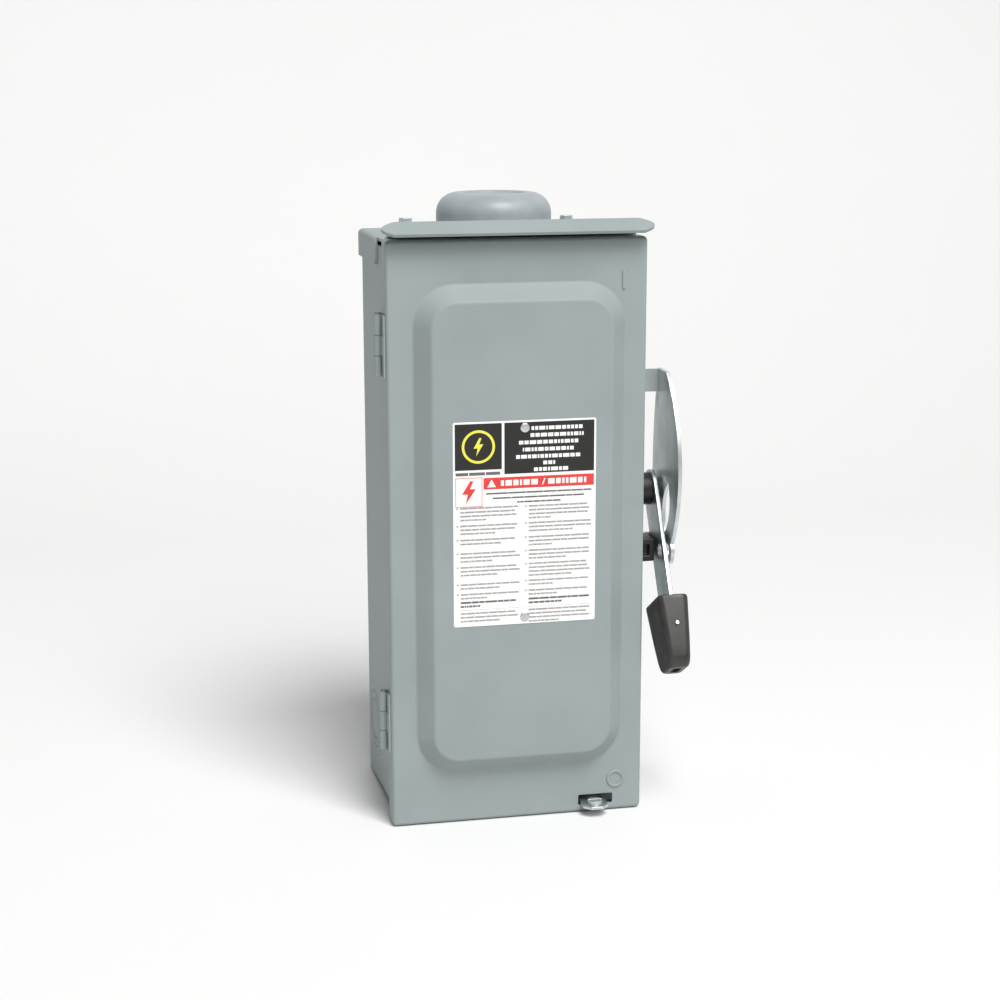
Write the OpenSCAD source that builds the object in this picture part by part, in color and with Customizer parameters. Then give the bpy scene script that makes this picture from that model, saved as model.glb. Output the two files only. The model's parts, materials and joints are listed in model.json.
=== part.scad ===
// Fused two-pole safety switch in a rainproof wall box, with a side lever and a hinged cover.
// Origin: centre of the back mounting face. +X right, +Y into the wall, +Z up. Millimetres.

/* [Enclosure] */
// Outer width of the box body
box_w = 157.5; // [145:0.5:200]
// Height of the back wall, from its lower edge to the top of the hood's deck
box_h = 366; // [340:1:460]
// Depth of the body, from the wall it hangs on to its front rim
box_d = 112; // [104:1:150]
// Thickness of the body and cover sheet
sheet_t = 1.5; // [1:0.1:2.5]
// How far the bottom wall sits above the lower edge of the back wall
floor_rise = 9; // [6:0.5:14]
// Width of the rim flange that frames the opening
rim_w = 8; // [5:0.5:10]
// Radius of the wall mounting holes
mount_hole_r = 3.6; // [2.5:0.1:5]
// Distance between the mounting holes across the box
mount_span_x = 104; // [80:1:120]
// Distance between the mounting holes up the box
mount_span_z = 290; // [280:1:310]
// Radius of the largest knockout in each side and in the bottom
knockout_r = 25; // [16:1:28]

/* [Cover] */
// Clearance between the cover's flanges and the side walls
cover_gap = 0.75; // [0.6:0.05:1.5]
// Depth of the cover's flanges
cover_lip = 13.5; // [10:0.5:20]
// How far the cover stands past the box at the top and at the bottom
cover_over = 1; // [0.5:0.5:3]
// Width of the raised panel's flat face
panel_w = 112; // [90:1:124]
// Height of the raised panel's flat face
panel_h = 287.5; // [220:0.5:300]
// How far the raised panel stands proud
panel_rise = 9.5; // [5:0.5:12]
// Width of the sloped band round the raised panel
panel_slope = 10; // [6:0.5:12]
// Width of the label plate
label_w = 89.5; // [60:0.5:100]
// Height of the label plate
label_h = 128; // [80:1:160]

/* [Hood] */
// Thickness of the hood sheet
hood_t = 2; // [1.5:0.1:3]
// Rise of the rain dam above the deck
dam_rise = 12.5; // [8:0.5:18]
// Reach of the drip lip in front of the rim
lip_reach = 12; // [8:0.5:16]
// Radius of the closed hub's dome
hub_r = 36.5; // [28:0.5:40]
// Height of the hub cap above its plate
hub_h = 21; // [14:0.5:30]

/* [Handle] */
// Height of the handle shaft above the middle of the box
pivot_z = 16; // [0:1:40]
// Distance of the handle shaft from the back of the box
pivot_depth = 64; // [58:1:70]
// Radius of the handle shaft
shaft_r = 6; // [4.5:0.25:8]
// Width of the lever bar
lever_w = 25; // [18:1:30]
// Thickness of the lever bar
lever_t = 3; // [2:0.5:4]
// Distance from the side wall to the lever
lever_out = 19.75; // [17:0.25:30]
// Distance from the shaft to the upper end of the grip
grip_start = 76; // [70:1:100]
// Length of the grip
grip_l = 46; // [40:1:70]
// Depth of the grip
grip_d = 35; // [28:1:40]
// Thickness of the grip
grip_t = 20; // [14:1:24]
// Turn of the handle from off to on, in degrees
handle_turn = 116; // [90:1:120]

/* [Switch] */
// Length of each fuse
fuse_l = 76; // [70:1:90]
// Radius of each fuse
fuse_r = 10.3; // [8:0.1:11]
// Thickness of the switch blades
blade_t = 3; // [2:0.25:4]
// Length of each blade from its pivot to its tip
blade_l = 46; // [40:1:48]
// Turn of the crossbar from open to closed, in degrees
blade_turn = 50; // [40:1:55]

/* [Hidden] */
$fn = 48;

// Small clearances
run = 0.05;      // running fit of a shaft in its bore
slip = 0.15;     // sliding fit of a blade in its jaws
air = 0.5;       // gap between sheet parts that pass each other
eps = 0.01;      // overshoot of a cut past the face it opens

// Box faces
side_x = box_w / 2;
inner_x = side_x - sheet_t;
low_z = -box_h / 2;
top_z = box_h / 2;
floor_z = low_z + floor_rise;
ledge_z = top_z - hood_t - 3;
rim_y = -box_d;
back_y = -sheet_t;

// Cover faces
cover_in_y = rim_y - air;
cover_y = cover_in_y - sheet_t;
cover_w = box_w + 2 * (cover_gap + sheet_t);
cover_h = box_h + 2 * cover_over;
cover_r = 3;
lip_y = cover_y + cover_lip;
panel_x = 1;
panel_z = 3.5;
panel_r = 16;
panel_y = cover_y - panel_rise;
label_x = panel_x + 1;
label_z = 11;
label_t = 0.3;
rivet_span = label_h - 9;

// Hood
deck_y = rim_y + 18;
fold_half = side_x - 2.5;
lip_half = side_x + 5;
lip_drop = 0.62 * lip_reach;
lip_len = norm([lip_reach, lip_drop]);
flange_drop = 17;
flange_l = 71;
hub_y = -42;
hub_hole_r = hub_r - 7;
hub_plate_t = 2;
hub_roof = 12;
hub_dish = 1.6;
gasket_t = 1.5;
hub_screw_x = 53;
hub_screw_y = 22;
hub_screw_r = 2.5;
hub_plate_z = top_z + gasket_t;

// Hinges
knuckle_r = 2.6;
leaf_t = 1.2;
leaf_gap = 0.4;
pin_r = 1.4;
hinge_l = 38;
knuckle_l = hinge_l / 3;
knuckle_gap = 0.15;
hinge_x = -(cover_w / 2 + leaf_gap + knuckle_r);
hinge_y = cover_y + 12.5;
hinge_z = [-117, 120.5];

// Latch slot and hasp
slot_x = [39.5, 62.2];
slot_z = [low_z + 3.5, low_z + 10.5];
hasp_x = [41, 57.5];
hasp_t = 2;
hasp_z = slot_z[0] + 0.5;
hasp_front = cover_y - 12;
hasp_screw_at = [(hasp_x[0] + hasp_x[1]) / 2, hasp_front + 6.5];
hasp_screw_r = 2.2;

// Handle and guard
pivot_y = -pivot_depth;
lever_x = side_x + lever_out;
lever_rest = 150;
guard_gap = 2;
guard_t = 2.5;
guard_x = lever_x + lever_t + guard_gap;
leg_h = 15;
upper_leg_z = pivot_z + 64;
lower_leg_z = pivot_z - 44;
upper_leg_y = pivot_y + 1.5;
stop_gap = 0.3;
stop_drop = pivot_z - lower_leg_z - leg_h;
lower_leg_y = pivot_y - stop_drop * tan(180 - lever_rest) + lever_w / 2 / cos(180 - lever_rest)
  + stop_gap + guard_t;
stop_block_d = 18;
foot_l = 25;
guard_rivet_r = 2.4;
grip_screw_u = grip_start + 19;
grip_screw_r = 1.2;
lever_end = grip_start + grip_l - 14;
shaft_end_r = shaft_r - 1.5;
lock_u = 44;
lock_v = -5;
lock_r = 4.5;
hub_boss_r = shaft_r + 4.5;
bushing_r = shaft_r + 3;
bushing_flange = 3;
boss_gap = 2.2;

// Mechanism, stacked inwards from the right wall
cheek_t = 2;
right_cheek_x = inner_x - 5.25;
spring_room = 12.5;
hook_t = 3;
hook_x = right_cheek_x - spring_room - hook_t;
left_cheek_x = hook_x - 3.5;
crank_t = 5;
crank_x = left_cheek_x - 3 - crank_t;
drive_t = 4;
drive_x = crank_x - 3 - drive_t;
shaft_x0 = drive_x - 2;
cheek_r = shaft_r + 7;
frame_screw_r = 1.8;
frame_screw_z = 7;
frame_mid_x = (left_cheek_x + right_cheek_x) / 2 + 1;
frame_screw_at = [for (s = [-1, 1]) [frame_mid_x, pivot_z + s * frame_screw_z]];
crank_pin_at = 17;
crank_pin_r = 2.4;
arm_w = 10;
arm_eye_r = shaft_r + 4;
hook_pin_at = 41.6;
hook_pin_r = 2.5;
hook_rest = handle_turn + 55;
crank_rest = 215;

// Switch base and poles
rib_t = 3;
base_x1 = drive_x - 6;
base_x0 = -(inner_x - 15.25);
base_y = -22;
pad_y = -30;
base_z0 = pivot_z - 146;
base_z1 = pivot_z + 88;
base_screw_r = 2;
base_screw_at = [for (x = [base_x0 + 9, base_x1 - 9], z = [base_z0 + 6, base_z1 - 4]) [x, z]];
pole_pitch = (base_x1 - base_x0 - rib_t) / 2;
pole_x = [for (i = [0, 1]) base_x0 + rib_t / 2 + pole_pitch * (i + 0.5)];
strap_t = 2;
strap_w = 16;
ear_t = 2;
ear_front = pivot_y - 9;
blade_w = 14;
blade_neck = 7;
blade_rest = blade_turn;
bar_at = 22;
bar_size = 13;
rivet_r = 2.5;
jaw_z = [pivot_z + 31, pivot_z + 49];
lug_w = 18;
lug_d = 18;
lug_h = 20;
lug_bore_r = 4.5;
line_lug_z = jaw_z[1] + 14;
fuse_y = -50;
fuse_top = pivot_z - 32;
fuse_bottom = fuse_top - fuse_l;
ferrule_l = 15;
clip_h = 11;
clip_t = 1.2;
clip_gap = 0.3;
load_lug_z = fuse_bottom - 6 - lug_h;

painted = [0.65, 0.69, 0.68];
zinc = [0.74, 0.76, 0.76];
black = [0.2, 0.2, 0.2];
copper = [0.76, 0.52, 0.36];
aluminium = [0.8, 0.81, 0.82];
steel = [0.62, 0.63, 0.65];

// Carries a flat outline, drawn in Y and Z, from x0 to x1
module along_x(x0, x1) {
  translate([x0, 0, 0]) rotate([90, 0, 90]) linear_extrude(x1 - x0) children();
}

// Carries a flat outline, drawn in X and Z, from y0 back to y1
module along_y(y0, y1) {
  translate([0, y1, 0]) rotate([90, 0, 0]) linear_extrude(y1 - y0) children();
}

// Carries a flat outline, drawn in X and Y, from z0 up to z1
module along_z(z0, z1) {
  translate([0, 0, z0]) linear_extrude(z1 - z0) children();
}

// Box between two opposite corners
module block(a, b) {
  translate(a) cube(b - a);
}

// Rectangle with round corners, centred
module round_rect(w, h, r) {
  square([w - 2 * r, h], center = true);
  square([w, h - 2 * r], center = true);
  for (x = [-1, 1], z = [-1, 1]) translate([x * (w / 2 - r), z * (h / 2 - r)]) circle(r);
}

// Flat outline in the handle plane: u runs from the shaft at the given angle from upright
module at_pivot(angle) {
  translate([pivot_y, pivot_z]) rotate(angle + 90) children();
}

// Solid in the lever's own axes: x across the box, u along the lever, v behind it
module lever_frame() {
  translate([0, pivot_y, pivot_z]) rotate([lever_rest + 90, 0, 0]) children();
}

// Screw standing on a face at z = 0: round washer head with a slot, and its shank below
module screw(head_r, head_h, shank_r, shank_l) {
  difference() {
    cylinder(r = head_r, h = head_h);
    translate([-head_r, -head_r * 0.12, head_h * 0.55]) cube([2 * head_r, head_r * 0.24, head_h]);
  }
  translate([0, 0, -shank_l]) cylinder(r = shank_r, h = shank_l);
}

// Hexagon screw with a washer under its head
module hex_screw(shank_r, shank_l) {
  cylinder(r = 2.3 * shank_r, h = 0.9);
  difference() {
    cylinder(r = 1.75 * shank_r, h = 4.2, $fn = 6);
    translate([-5, -0.5, 3.2]) cube([10, 1, 2]);
  }
  translate([0, 0, -shank_l]) cylinder(r = shank_r, h = shank_l);
}

// Turns a solid that stands on z = 0 so that it stands out of a face looking forward
module facing_front(p) {
  translate(p) rotate([90, 0, 0]) children();
}

// Knockout disc: rings of one sheet thickness, marked by grooves in its outer face
module knockout(r) {
  groove_d = 0.5;
  groove_w = 0.9;
  difference() {
    cylinder(r = r, h = sheet_t);
    for (ring = [1, 0.74, 0.52]) translate([0, 0, sheet_t - groove_d]) difference() {
      cylinder(r = ring == 1 ? r + 1 : r * ring, h = 1);
      translate([0, 0, -eps]) cylinder(r = r * ring - groove_w, h = 2);
    }
  }
}

side_ko = [-29, floor_z + 34];
bottom_ko_x = [-38, 30];
bottom_ko_y = -52;
bottom_ko_r = knockout_r - 4;

module wall_hole_places() {
  for (x = [-1, 1], z = [-1, 1]) translate([x * mount_span_x / 2, z * mount_span_z / 2]) children();
}

module guard_rivet_places() {
  for (k = [0.35, 0.75]) {
    translate([upper_leg_y + foot_l * k, upper_leg_z + leg_h / 2]) children();
    translate([lower_leg_y + foot_l * k, lower_leg_z + leg_h / 2]) children();
  }
}

module base_screw_holes() {
  for (p = base_screw_at) translate(p) circle(base_screw_r);
}

// Side wall outline: its lower edge rises towards the front
module side_outline() {
  polygon([[0, low_z], [lip_y, floor_z], [rim_y, floor_z], [rim_y, ledge_z], [0, ledge_z]]);
}

// Back wall and side walls folded from one sheet, with a rim flange turned inwards on each side
module body_shell() {
  color(painted) difference() {
    union() {
      block([-side_x, back_y, low_z], [side_x, 0, top_z - hood_t]);
      along_x(-side_x, -inner_x) side_outline();
      along_x(inner_x, side_x) side_outline();
      for (x = [-side_x, side_x - rim_w])
        block([x, rim_y, floor_z + sheet_t], [x + rim_w, rim_y + sheet_t, ledge_z - sheet_t]);
    }
    along_y(back_y - 1, 1) wall_hole_places() circle(mount_hole_r);
    along_y(back_y - 1, 1) base_screw_holes();
    along_y(back_y - 1, 1) mechanism_screw_holes();
    along_x(-side_x - 1, side_x + 1) translate(side_ko) circle(knockout_r);
    along_x(inner_x - 1, side_x + 1) translate([pivot_y, pivot_z]) circle(bushing_r);
    along_x(inner_x - 1, side_x + 1) guard_rivet_places() circle(guard_rivet_r);
  }
}

// Bottom wall set between the side walls, with its rim flange turned up
module body_bottom() {
  color(painted) difference() {
    union() {
      block([-inner_x, rim_y, floor_z], [inner_x, back_y, floor_z + sheet_t]);
      block([rim_w - side_x, rim_y, floor_z], [side_x - rim_w, rim_y + sheet_t, floor_z + rim_w]);
    }
    for (x = bottom_ko_x) translate([x, bottom_ko_y, floor_z - 1]) cylinder(r = bottom_ko_r, h = sheet_t + 2);
  }
}

// Ledge under the front of the hood, with its rim flange turned down
module body_ledge() {
  color(painted) {
    block([-inner_x, rim_y, ledge_z - sheet_t], [inner_x, -flange_l, ledge_z]);
    block([rim_w - side_x, rim_y, ledge_z - rim_w], [side_x - rim_w, rim_y + sheet_t, ledge_z]);
  }
}

module top_hood() {
  color(painted) difference() {
    union() {
      block([-side_x, deck_y, top_z - hood_t], [side_x, 0, top_z]);
      for (s = [-1, 1]) along_x(s < 0 ? -side_x - hood_t : side_x, s < 0 ? -side_x : side_x + hood_t) {
        translate([-flange_l, top_z - flange_drop + 4]) square([flange_l, flange_drop - 4]);
        translate([4 - flange_l, top_z - flange_drop]) square([flange_l - 4, flange_drop]);
        translate([4 - flange_l, top_z - flange_drop + 4]) circle(4);
      }
      along_x(-fold_half, fold_half) polygon([[rim_y, top_z + dam_rise], [deck_y, top_z],
        [deck_y, top_z - hood_t], [deck_y - 1.5, top_z - hood_t], [rim_y, top_z + dam_rise - 1.27 * hood_t]]);
      translate([0, rim_y, top_z + dam_rise]) rotate([atan(lip_drop / lip_reach), 0, 0])
        translate([0, 0, -hood_t]) linear_extrude(hood_t)
          polygon([[-fold_half, 0], [fold_half, 0], [lip_half, 2 - lip_len], [lip_half - 3, -lip_len],
            [3 - lip_half, -lip_len], [-lip_half, 2 - lip_len]]);
    }
    translate([0, hub_y, top_z - hood_t - 1]) cylinder(r = hub_hole_r, h = hood_t + 2);
    hub_screw_places(top_z - hood_t - 1) cylinder(r = hub_screw_r, h = hood_t + 2);
  }
}

module hub_screw_places(z) {
  for (x = [-1, 1], y = [-1, 1]) translate([x * hub_screw_x, hub_y + y * hub_screw_y, z]) children();
}

module hub_plate_outline() {
  translate([0, hub_y]) round_rect(2 * hub_screw_x + 13, 2 * hub_screw_y + 13, 6);
  translate([0, hub_y]) circle(hub_r + 1.5);
}

// Dome: straight side, round shoulder, raised rim and a shallow dished top
module hub_cap() {
  shoulder = 13;
  color(painted) difference() {
    union() {
      along_z(hub_plate_z, hub_plate_z + hub_plate_t) hub_plate_outline();
      translate([0, hub_y, hub_plate_z]) difference() {
        rotate_extrude($fn = 96) intersection() {
          union() {
            square([hub_r - shoulder, hub_h + hub_plate_t]);
            square([hub_r, hub_h + hub_plate_t - shoulder]);
            translate([hub_r - shoulder, hub_h + hub_plate_t - shoulder]) circle(shoulder);
          }
          square([hub_r + 1, hub_h + hub_plate_t + 1]);
        }
        translate([0, 0, hub_h + hub_plate_t - hub_dish]) cylinder(r = hub_r - shoulder - 3, h = 3);
      }
    }
    translate([0, hub_y, hub_plate_z - 1]) cylinder(r = hub_hole_r, h = hub_h + hub_plate_t - hub_roof);
    hub_screw_places(hub_plate_z - 1) cylinder(r = hub_screw_r, h = hub_plate_t + 2);
  }
}

module hub_gasket() {
  color(black) difference() {
    along_z(top_z, top_z + gasket_t) hub_plate_outline();
    translate([0, hub_y, top_z - 1]) cylinder(r = hub_hole_r, h = gasket_t + 2);
    hub_screw_places(top_z - 1) cylinder(r = hub_screw_r, h = gasket_t + 2);
  }
}

module hub_screws() {
  color(zinc) hub_screw_places(hub_plate_z + hub_plate_t)
    hex_screw(hub_screw_r, hub_plate_t + gasket_t + hood_t + 3);
}

module side_knockouts() {
  color(painted) for (s = [-1, 1])
    translate([s * inner_x, side_ko[0], side_ko[1]]) rotate([0, s * 90, 0]) knockout(knockout_r);
}

module bottom_knockouts() {
  color(painted) for (x = bottom_ko_x)
    translate([x, bottom_ko_y, floor_z + sheet_t]) rotate([180, 0, 0]) knockout(bottom_ko_r);
}

module body_hinge_leaves() {
  leaf_y = lip_y + 1.1;
  color(painted) for (z = hinge_z, k = [-1, 1])
    translate([0, 0, z + k * knuckle_l - knuckle_l / 2 + knuckle_gap]) difference() {
      union() {
        translate([hinge_x, hinge_y, 0]) cylinder(r = knuckle_r, h = knuckle_l - 2 * knuckle_gap);
        block([hinge_x + knuckle_r - leaf_t, hinge_y, 0],
          [hinge_x + knuckle_r, leaf_y + leaf_t, knuckle_l - 2 * knuckle_gap]);
        block([hinge_x + knuckle_r - leaf_t, leaf_y, 0],
          [-side_x, leaf_y + leaf_t, knuckle_l - 2 * knuckle_gap]);
      }
      translate([hinge_x, hinge_y, -1]) cylinder(r = pin_r, h = knuckle_l + 2);
    }
}

module hinge_pins() {
  color(steel) for (z = hinge_z) translate([hinge_x, hinge_y, z - hinge_l / 2]) {
    cylinder(r = pin_r, h = hinge_l);
    translate([0, 0, hinge_l - knuckle_gap]) cylinder(r = knuckle_r - 0.4, h = 1);
  }
}

module cover_hinge_leaves() {
  leaf_front = cover_y + 2.5;
  color(painted) for (z = hinge_z) translate([0, 0, z]) {
    difference() {
      union() {
        translate([hinge_x, hinge_y, knuckle_gap - knuckle_l / 2])
          cylinder(r = knuckle_r, h = knuckle_l - 2 * knuckle_gap);
        block([hinge_x + knuckle_r - leaf_t, leaf_front + 1, knuckle_gap - knuckle_l / 2],
          [-cover_w / 2, hinge_y, knuckle_l / 2 - knuckle_gap]);
      }
      translate([hinge_x, hinge_y, -knuckle_l]) cylinder(r = pin_r + run, h = 2 * knuckle_l);
    }
    block([-cover_w / 2 - leaf_t, leaf_front, knuckle_gap - hinge_l / 2],
      [-cover_w / 2, hinge_y - knuckle_r - air, hinge_l / 2 - knuckle_gap]);
  }
}

// Guard plate outline: two large arcs, a leaf-shaped window and a lobe for the padlock hole
module guard_outline() {
  difference() {
    union() {
      intersection() {
        translate([pivot_y + 32, pivot_z + 16]) circle(80, $fn = 128);
        translate([pivot_y - 241, pivot_z + 14]) circle(250, $fn = 128);
        translate([pivot_y - 50, lower_leg_z]) square([70, upper_leg_z + leg_h - lower_leg_z]);
      }
      translate([upper_leg_y - 12, upper_leg_z]) square([12, leg_h]);
      at_pivot(lever_rest) translate([lock_u, lock_v]) circle(lock_r + 4.5);
    }
    at_pivot(lever_rest) translate([lock_u, lock_v]) circle(lock_r);
    translate([pivot_y - 22, pivot_z - 9]) rotate(14) intersection() {
      translate([-18.5, 0]) circle(26);
      translate([18.5, 0]) circle(26);
    }
  }
}

module handle_guard() {
  color(zinc) difference() {
    union() {
      along_x(guard_x, guard_x + guard_t) guard_outline();
      guard_leg(upper_leg_y, upper_leg_z);
      guard_leg(lower_leg_y, lower_leg_z);
    }
    along_x(side_x - 1, side_x + guard_t + 1) guard_rivet_places() circle(guard_rivet_r);
  }
}

module guard_leg(y, z) {
  block([side_x, y - guard_t, z], [guard_x + guard_t, y, z + leg_h]);
  block([side_x, y - guard_t, z], [side_x + guard_t, y + foot_l, z + leg_h]);
}

module guard_rivets() {
  head_r = 4;
  color(zinc) {
    along_x(inner_x, side_x + guard_t) guard_rivet_places() circle(guard_rivet_r);
    along_x(side_x + guard_t, side_x + guard_t + 1.6) guard_rivet_places() circle(head_r);
    along_x(inner_x - 1.2, inner_x) guard_rivet_places() circle(head_r);
  }
}

module shaft_bushing() {
  color(black) translate([0, pivot_y, pivot_z]) rotate([0, 90, 0]) difference() {
    union() {
      translate([0, 0, inner_x - 1.5]) cylinder(r = bushing_r, h = sheet_t + 1.5);
      translate([0, 0, side_x]) cylinder(r = bushing_r + bushing_flange, h = 1.6);
    }
    translate([0, 0, inner_x - 3]) cylinder(r = shaft_r + run, h = 9);
  }
}

module lever_stop_block() {
  block_y = lower_leg_y - guard_t - stop_block_d;
  color(black) difference() {
    block([side_x, block_y, lower_leg_z], [lever_x - 1.5, lower_leg_y - guard_t, lower_leg_z + leg_h]);
    block([side_x + 5, block_y - 1, lower_leg_z + 4], [lever_x - 5, block_y + 4, lower_leg_z + leg_h - 4]);
  }
}

// Hasp: foot under the bottom wall, a step down, and a tongue that passes out through the cover's slot
module cover_hasp() {
  chamfer = 4.5;
  step_y = rim_y + 14;
  color(zinc) difference() {
    union() {
      along_z(hasp_z, hasp_z + hasp_t) polygon([[hasp_x[0], step_y], [hasp_x[0], hasp_front + chamfer],
        [hasp_x[0] + chamfer, hasp_front], [hasp_x[1] - chamfer, hasp_front],
        [hasp_x[1], hasp_front + chamfer], [hasp_x[1], step_y]]);
      block([hasp_x[0], step_y - hasp_t, hasp_z], [hasp_x[1], step_y, floor_z]);
      block([hasp_x[0], step_y - hasp_t, floor_z - hasp_t], [hasp_x[1], step_y + 18, floor_z]);
    }
    translate([hasp_screw_at[0], hasp_screw_at[1], hasp_z - 1]) cylinder(r = hasp_screw_r, h = hasp_t + 2);
  }
}

module hasp_screw() {
  color(zinc) translate([hasp_screw_at[0], hasp_screw_at[1], hasp_z + hasp_t])
    screw(4.6, 2.8, hasp_screw_r, hasp_t + 0.3);
}

// Moulded base: slab, raised pads under the straps, and barriers beside the poles
module switch_base() {
  barrier_y = pivot_y + 12;
  color(black) difference() {
    union() {
      block([base_x0, base_y, base_z0], [base_x1, back_y, base_z1]);
      for (x = pole_x) block([x - 12, pad_y, base_z0 + 12], [x + 12, base_y, base_z1 - 10]);
      for (i = [0:2]) translate([base_x0 + i * pole_pitch, 0, 0])
        block([0, barrier_y, pivot_z - 20], [rib_t, base_y, base_z1 - 8]);
      for (i = [0:2]) translate([base_x0 + i * pole_pitch, 0, 0])
        block([0, fuse_y, base_z0 + 12], [rib_t, base_y, fuse_top]);
    }
    along_y(base_y - 1, back_y + 1) base_screw_holes();
    along_y(pad_y - 9, base_y + 6) for (x = pole_x, z = [base_z0 + 60, base_z0 + 84]) translate([x, z])
      round_rect(14, 14, 2);
  }
}

module base_screws() {
  shank = back_y - base_y + sheet_t;
  color(zinc) for (p = base_screw_at)
    facing_front([p[0], base_y, p[1]]) screw(1.8 * base_screw_r, 2.4, base_screw_r, shank);
}

// Wire lug: block with a wire bore from its end and a clamping screw in its front
module lug(x, z, wire_end) {
  difference() {
    block([x - lug_w / 2, pad_y - strap_t - lug_d, z], [x + lug_w / 2, pad_y - strap_t, z + lug_h]);
    translate([x, pad_y - strap_t - lug_d * 0.45, wire_end > 0 ? z + 2 : z - 1])
      cylinder(r = lug_bore_r, h = lug_h - 1);
    facing_front([x, pad_y - strap_t - lug_d * 0.4, z + lug_h / 2]) cylinder(r = 4, h = lug_d);
  }
}

module lug_screw(x, z) {
  facing_front([x, pad_y - strap_t - lug_d * 0.72, z + lug_h / 2]) difference() {
    cylinder(r = 4, h = lug_d * 0.28 + 1.5);
    translate([0, 0, lug_d * 0.28 - 2.5]) cylinder(r = 2.3, h = 5, $fn = 6);
  }
}

module line_lugs() {
  color(aluminium) for (x = pole_x) lug(x, line_lug_z, 1);
}

module line_lug_screws() {
  color(steel) for (x = pole_x) lug_screw(x, line_lug_z);
}

module load_lugs() {
  color(aluminium) for (x = pole_x) lug(x, load_lug_z, -1);
}

module load_lug_screws() {
  color(steel) for (x = pole_x) lug_screw(x, load_lug_z);
}

module strap(x, z0, z1) {
  block([x - strap_w / 2, pad_y - strap_t, z0], [x + strap_w / 2, pad_y, z1]);
}

module ears(x, z0, z1, gap, front) {
  for (s = [-1, 1]) translate([x + s * (gap + ear_t) / 2 - ear_t / 2, 0, 0])
    block([0, front, z0], [ear_t, pad_y - strap_t + eps, z1]);
}

module line_jaws() {
  color(copper) for (x = pole_x) {
    strap(x, jaw_z[0], line_lug_z + lug_h);
    ears(x, jaw_z[0], jaw_z[1], blade_t + 2 * slip, ear_front);
  }
}

module blade_hinge_clips() {
  color(copper) for (x = pole_x) difference() {
    union() {
      strap(x, fuse_top - ferrule_l, pivot_z + 10);
      ears(x, pivot_z - 9, pivot_z + 9, blade_t + 2 * slip, ear_front);
    }
    translate([x - 5, pivot_y, pivot_z]) rotate([0, 90, 0]) cylinder(r = rivet_r, h = 10);
  }
}

module blade_pivot_rivets() {
  half = blade_t / 2 + slip + ear_t;
  color(steel) for (x = pole_x) translate([x, pivot_y, pivot_z]) rotate([0, 90, 0]) {
    translate([0, 0, -half]) cylinder(r = rivet_r, h = 2 * half);
    for (s = [-1, 1]) translate([0, 0, s * (half + 0.6) - 0.6]) cylinder(r = rivet_r + 1.7, h = 1.2);
  }
}

// Spring clip that opens forward, so the fuse slides straight out
module fuse_clip(x, z) {
  inner = fuse_r + clip_gap;
  back = fuse_y + inner + clip_t;
  translate([0, 0, z]) {
    along_z(0, clip_h) translate([x, fuse_y]) difference() {
      union() {
        circle(inner + clip_t);
        translate([-inner - clip_t, -fuse_r * 0.8]) square([2 * (inner + clip_t), fuse_r * 0.8]);
      }
      circle(inner);
      translate([-inner, -2 * inner]) square([2 * inner, 2 * inner]);
      translate([-2 * inner, -3 * inner]) square([4 * inner, 3 * inner - fuse_r * 0.8]);
    }
    block([x - 5, back - 0.6, 0], [x + 5, pad_y - strap_t, clip_h]);
  }
}

module upper_fuse_clips() {
  color(copper) for (x = pole_x) fuse_clip(x, fuse_top - clip_h - 2);
}

module lower_fuse_clips() {
  color(copper) for (x = pole_x) {
    fuse_clip(x, fuse_bottom + 2);
    strap(x, load_lug_z, fuse_bottom + ferrule_l);
  }
}

module line_shield() {
  shield_z = line_lug_z - 4;
  shield_y = pad_y - strap_t - lug_d - 5;
  leg_t = 1.5;
  color([0.75, 0.72, 0.6]) {
    block([base_x0, shield_y, shield_z], [base_x1, shield_y + 1.2, base_z1 - 2]);
    for (x = [base_x0 + rib_t + 1, base_x1 - rib_t - 1 - leg_t])
      block([x, shield_y, shield_z], [x + leg_t, base_y, base_z1 - 12]);
  }
}

// Neutral and ground bars
neutral_x = drive_x + 12;
neutral_z = [pivot_z - 138, pivot_z - 76];
ground_x = [-50, 10];
ground_z = floor_z + 18;
ground_s = 10;
bar_end = 8;
neutral_pitch = 15;
ground_pitch = 11;
ground_mid_y = back_y - ground_s / 2 - 2;
bar_screw_r = 2.8;

function ground_screw_x(i) = ground_x[0] + bar_end + i * ground_pitch;

module neutral_insulator() {
  color(black) block([neutral_x - 10, -16, neutral_z[0] - 4], [neutral_x + 10, back_y, neutral_z[1] + 4]);
}

module neutral_bar() {
  color(aluminium) difference() {
    block([neutral_x - 6, -28, neutral_z[0]], [neutral_x + 6, -16, neutral_z[1]]);
    for (i = [0:3]) translate([neutral_x, -22, neutral_z[0] + bar_end + i * neutral_pitch]) {
      rotate([0, 90, 0]) cylinder(r = 3.2, h = 14, center = true);
      facing_front([0, 0, 0]) cylinder(r = bar_screw_r, h = 8);
    }
  }
}

module neutral_screws() {
  color(steel) for (i = [0:3])
    facing_front([neutral_x, -25, neutral_z[0] + bar_end + i * neutral_pitch]) bar_screw();
}

// Headless slotted screw in a terminal bar
module bar_screw() {
  difference() {
    cylinder(r = bar_screw_r, h = 5);
    translate([-3, -0.45, 4]) cube([6, 0.9, 2]);
  }
}

module ground_bar() {
  color(aluminium) difference() {
    block([ground_x[0], back_y - ground_s - 2, ground_z], [ground_x[1], back_y, ground_z + ground_s]);
    for (i = [0:4]) translate([ground_screw_x(i), ground_mid_y, ground_z + ground_s / 2]) {
      cylinder(r = 2.6, h = ground_s + 2, center = true);
      facing_front([0, 0, 0]) cylinder(r = bar_screw_r, h = ground_s);
    }
  }
}

module ground_screws() {
  color(steel) for (i = [0:4])
    facing_front([ground_screw_x(i), ground_mid_y - 2.8, ground_z + ground_s / 2]) bar_screw();
}

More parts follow.
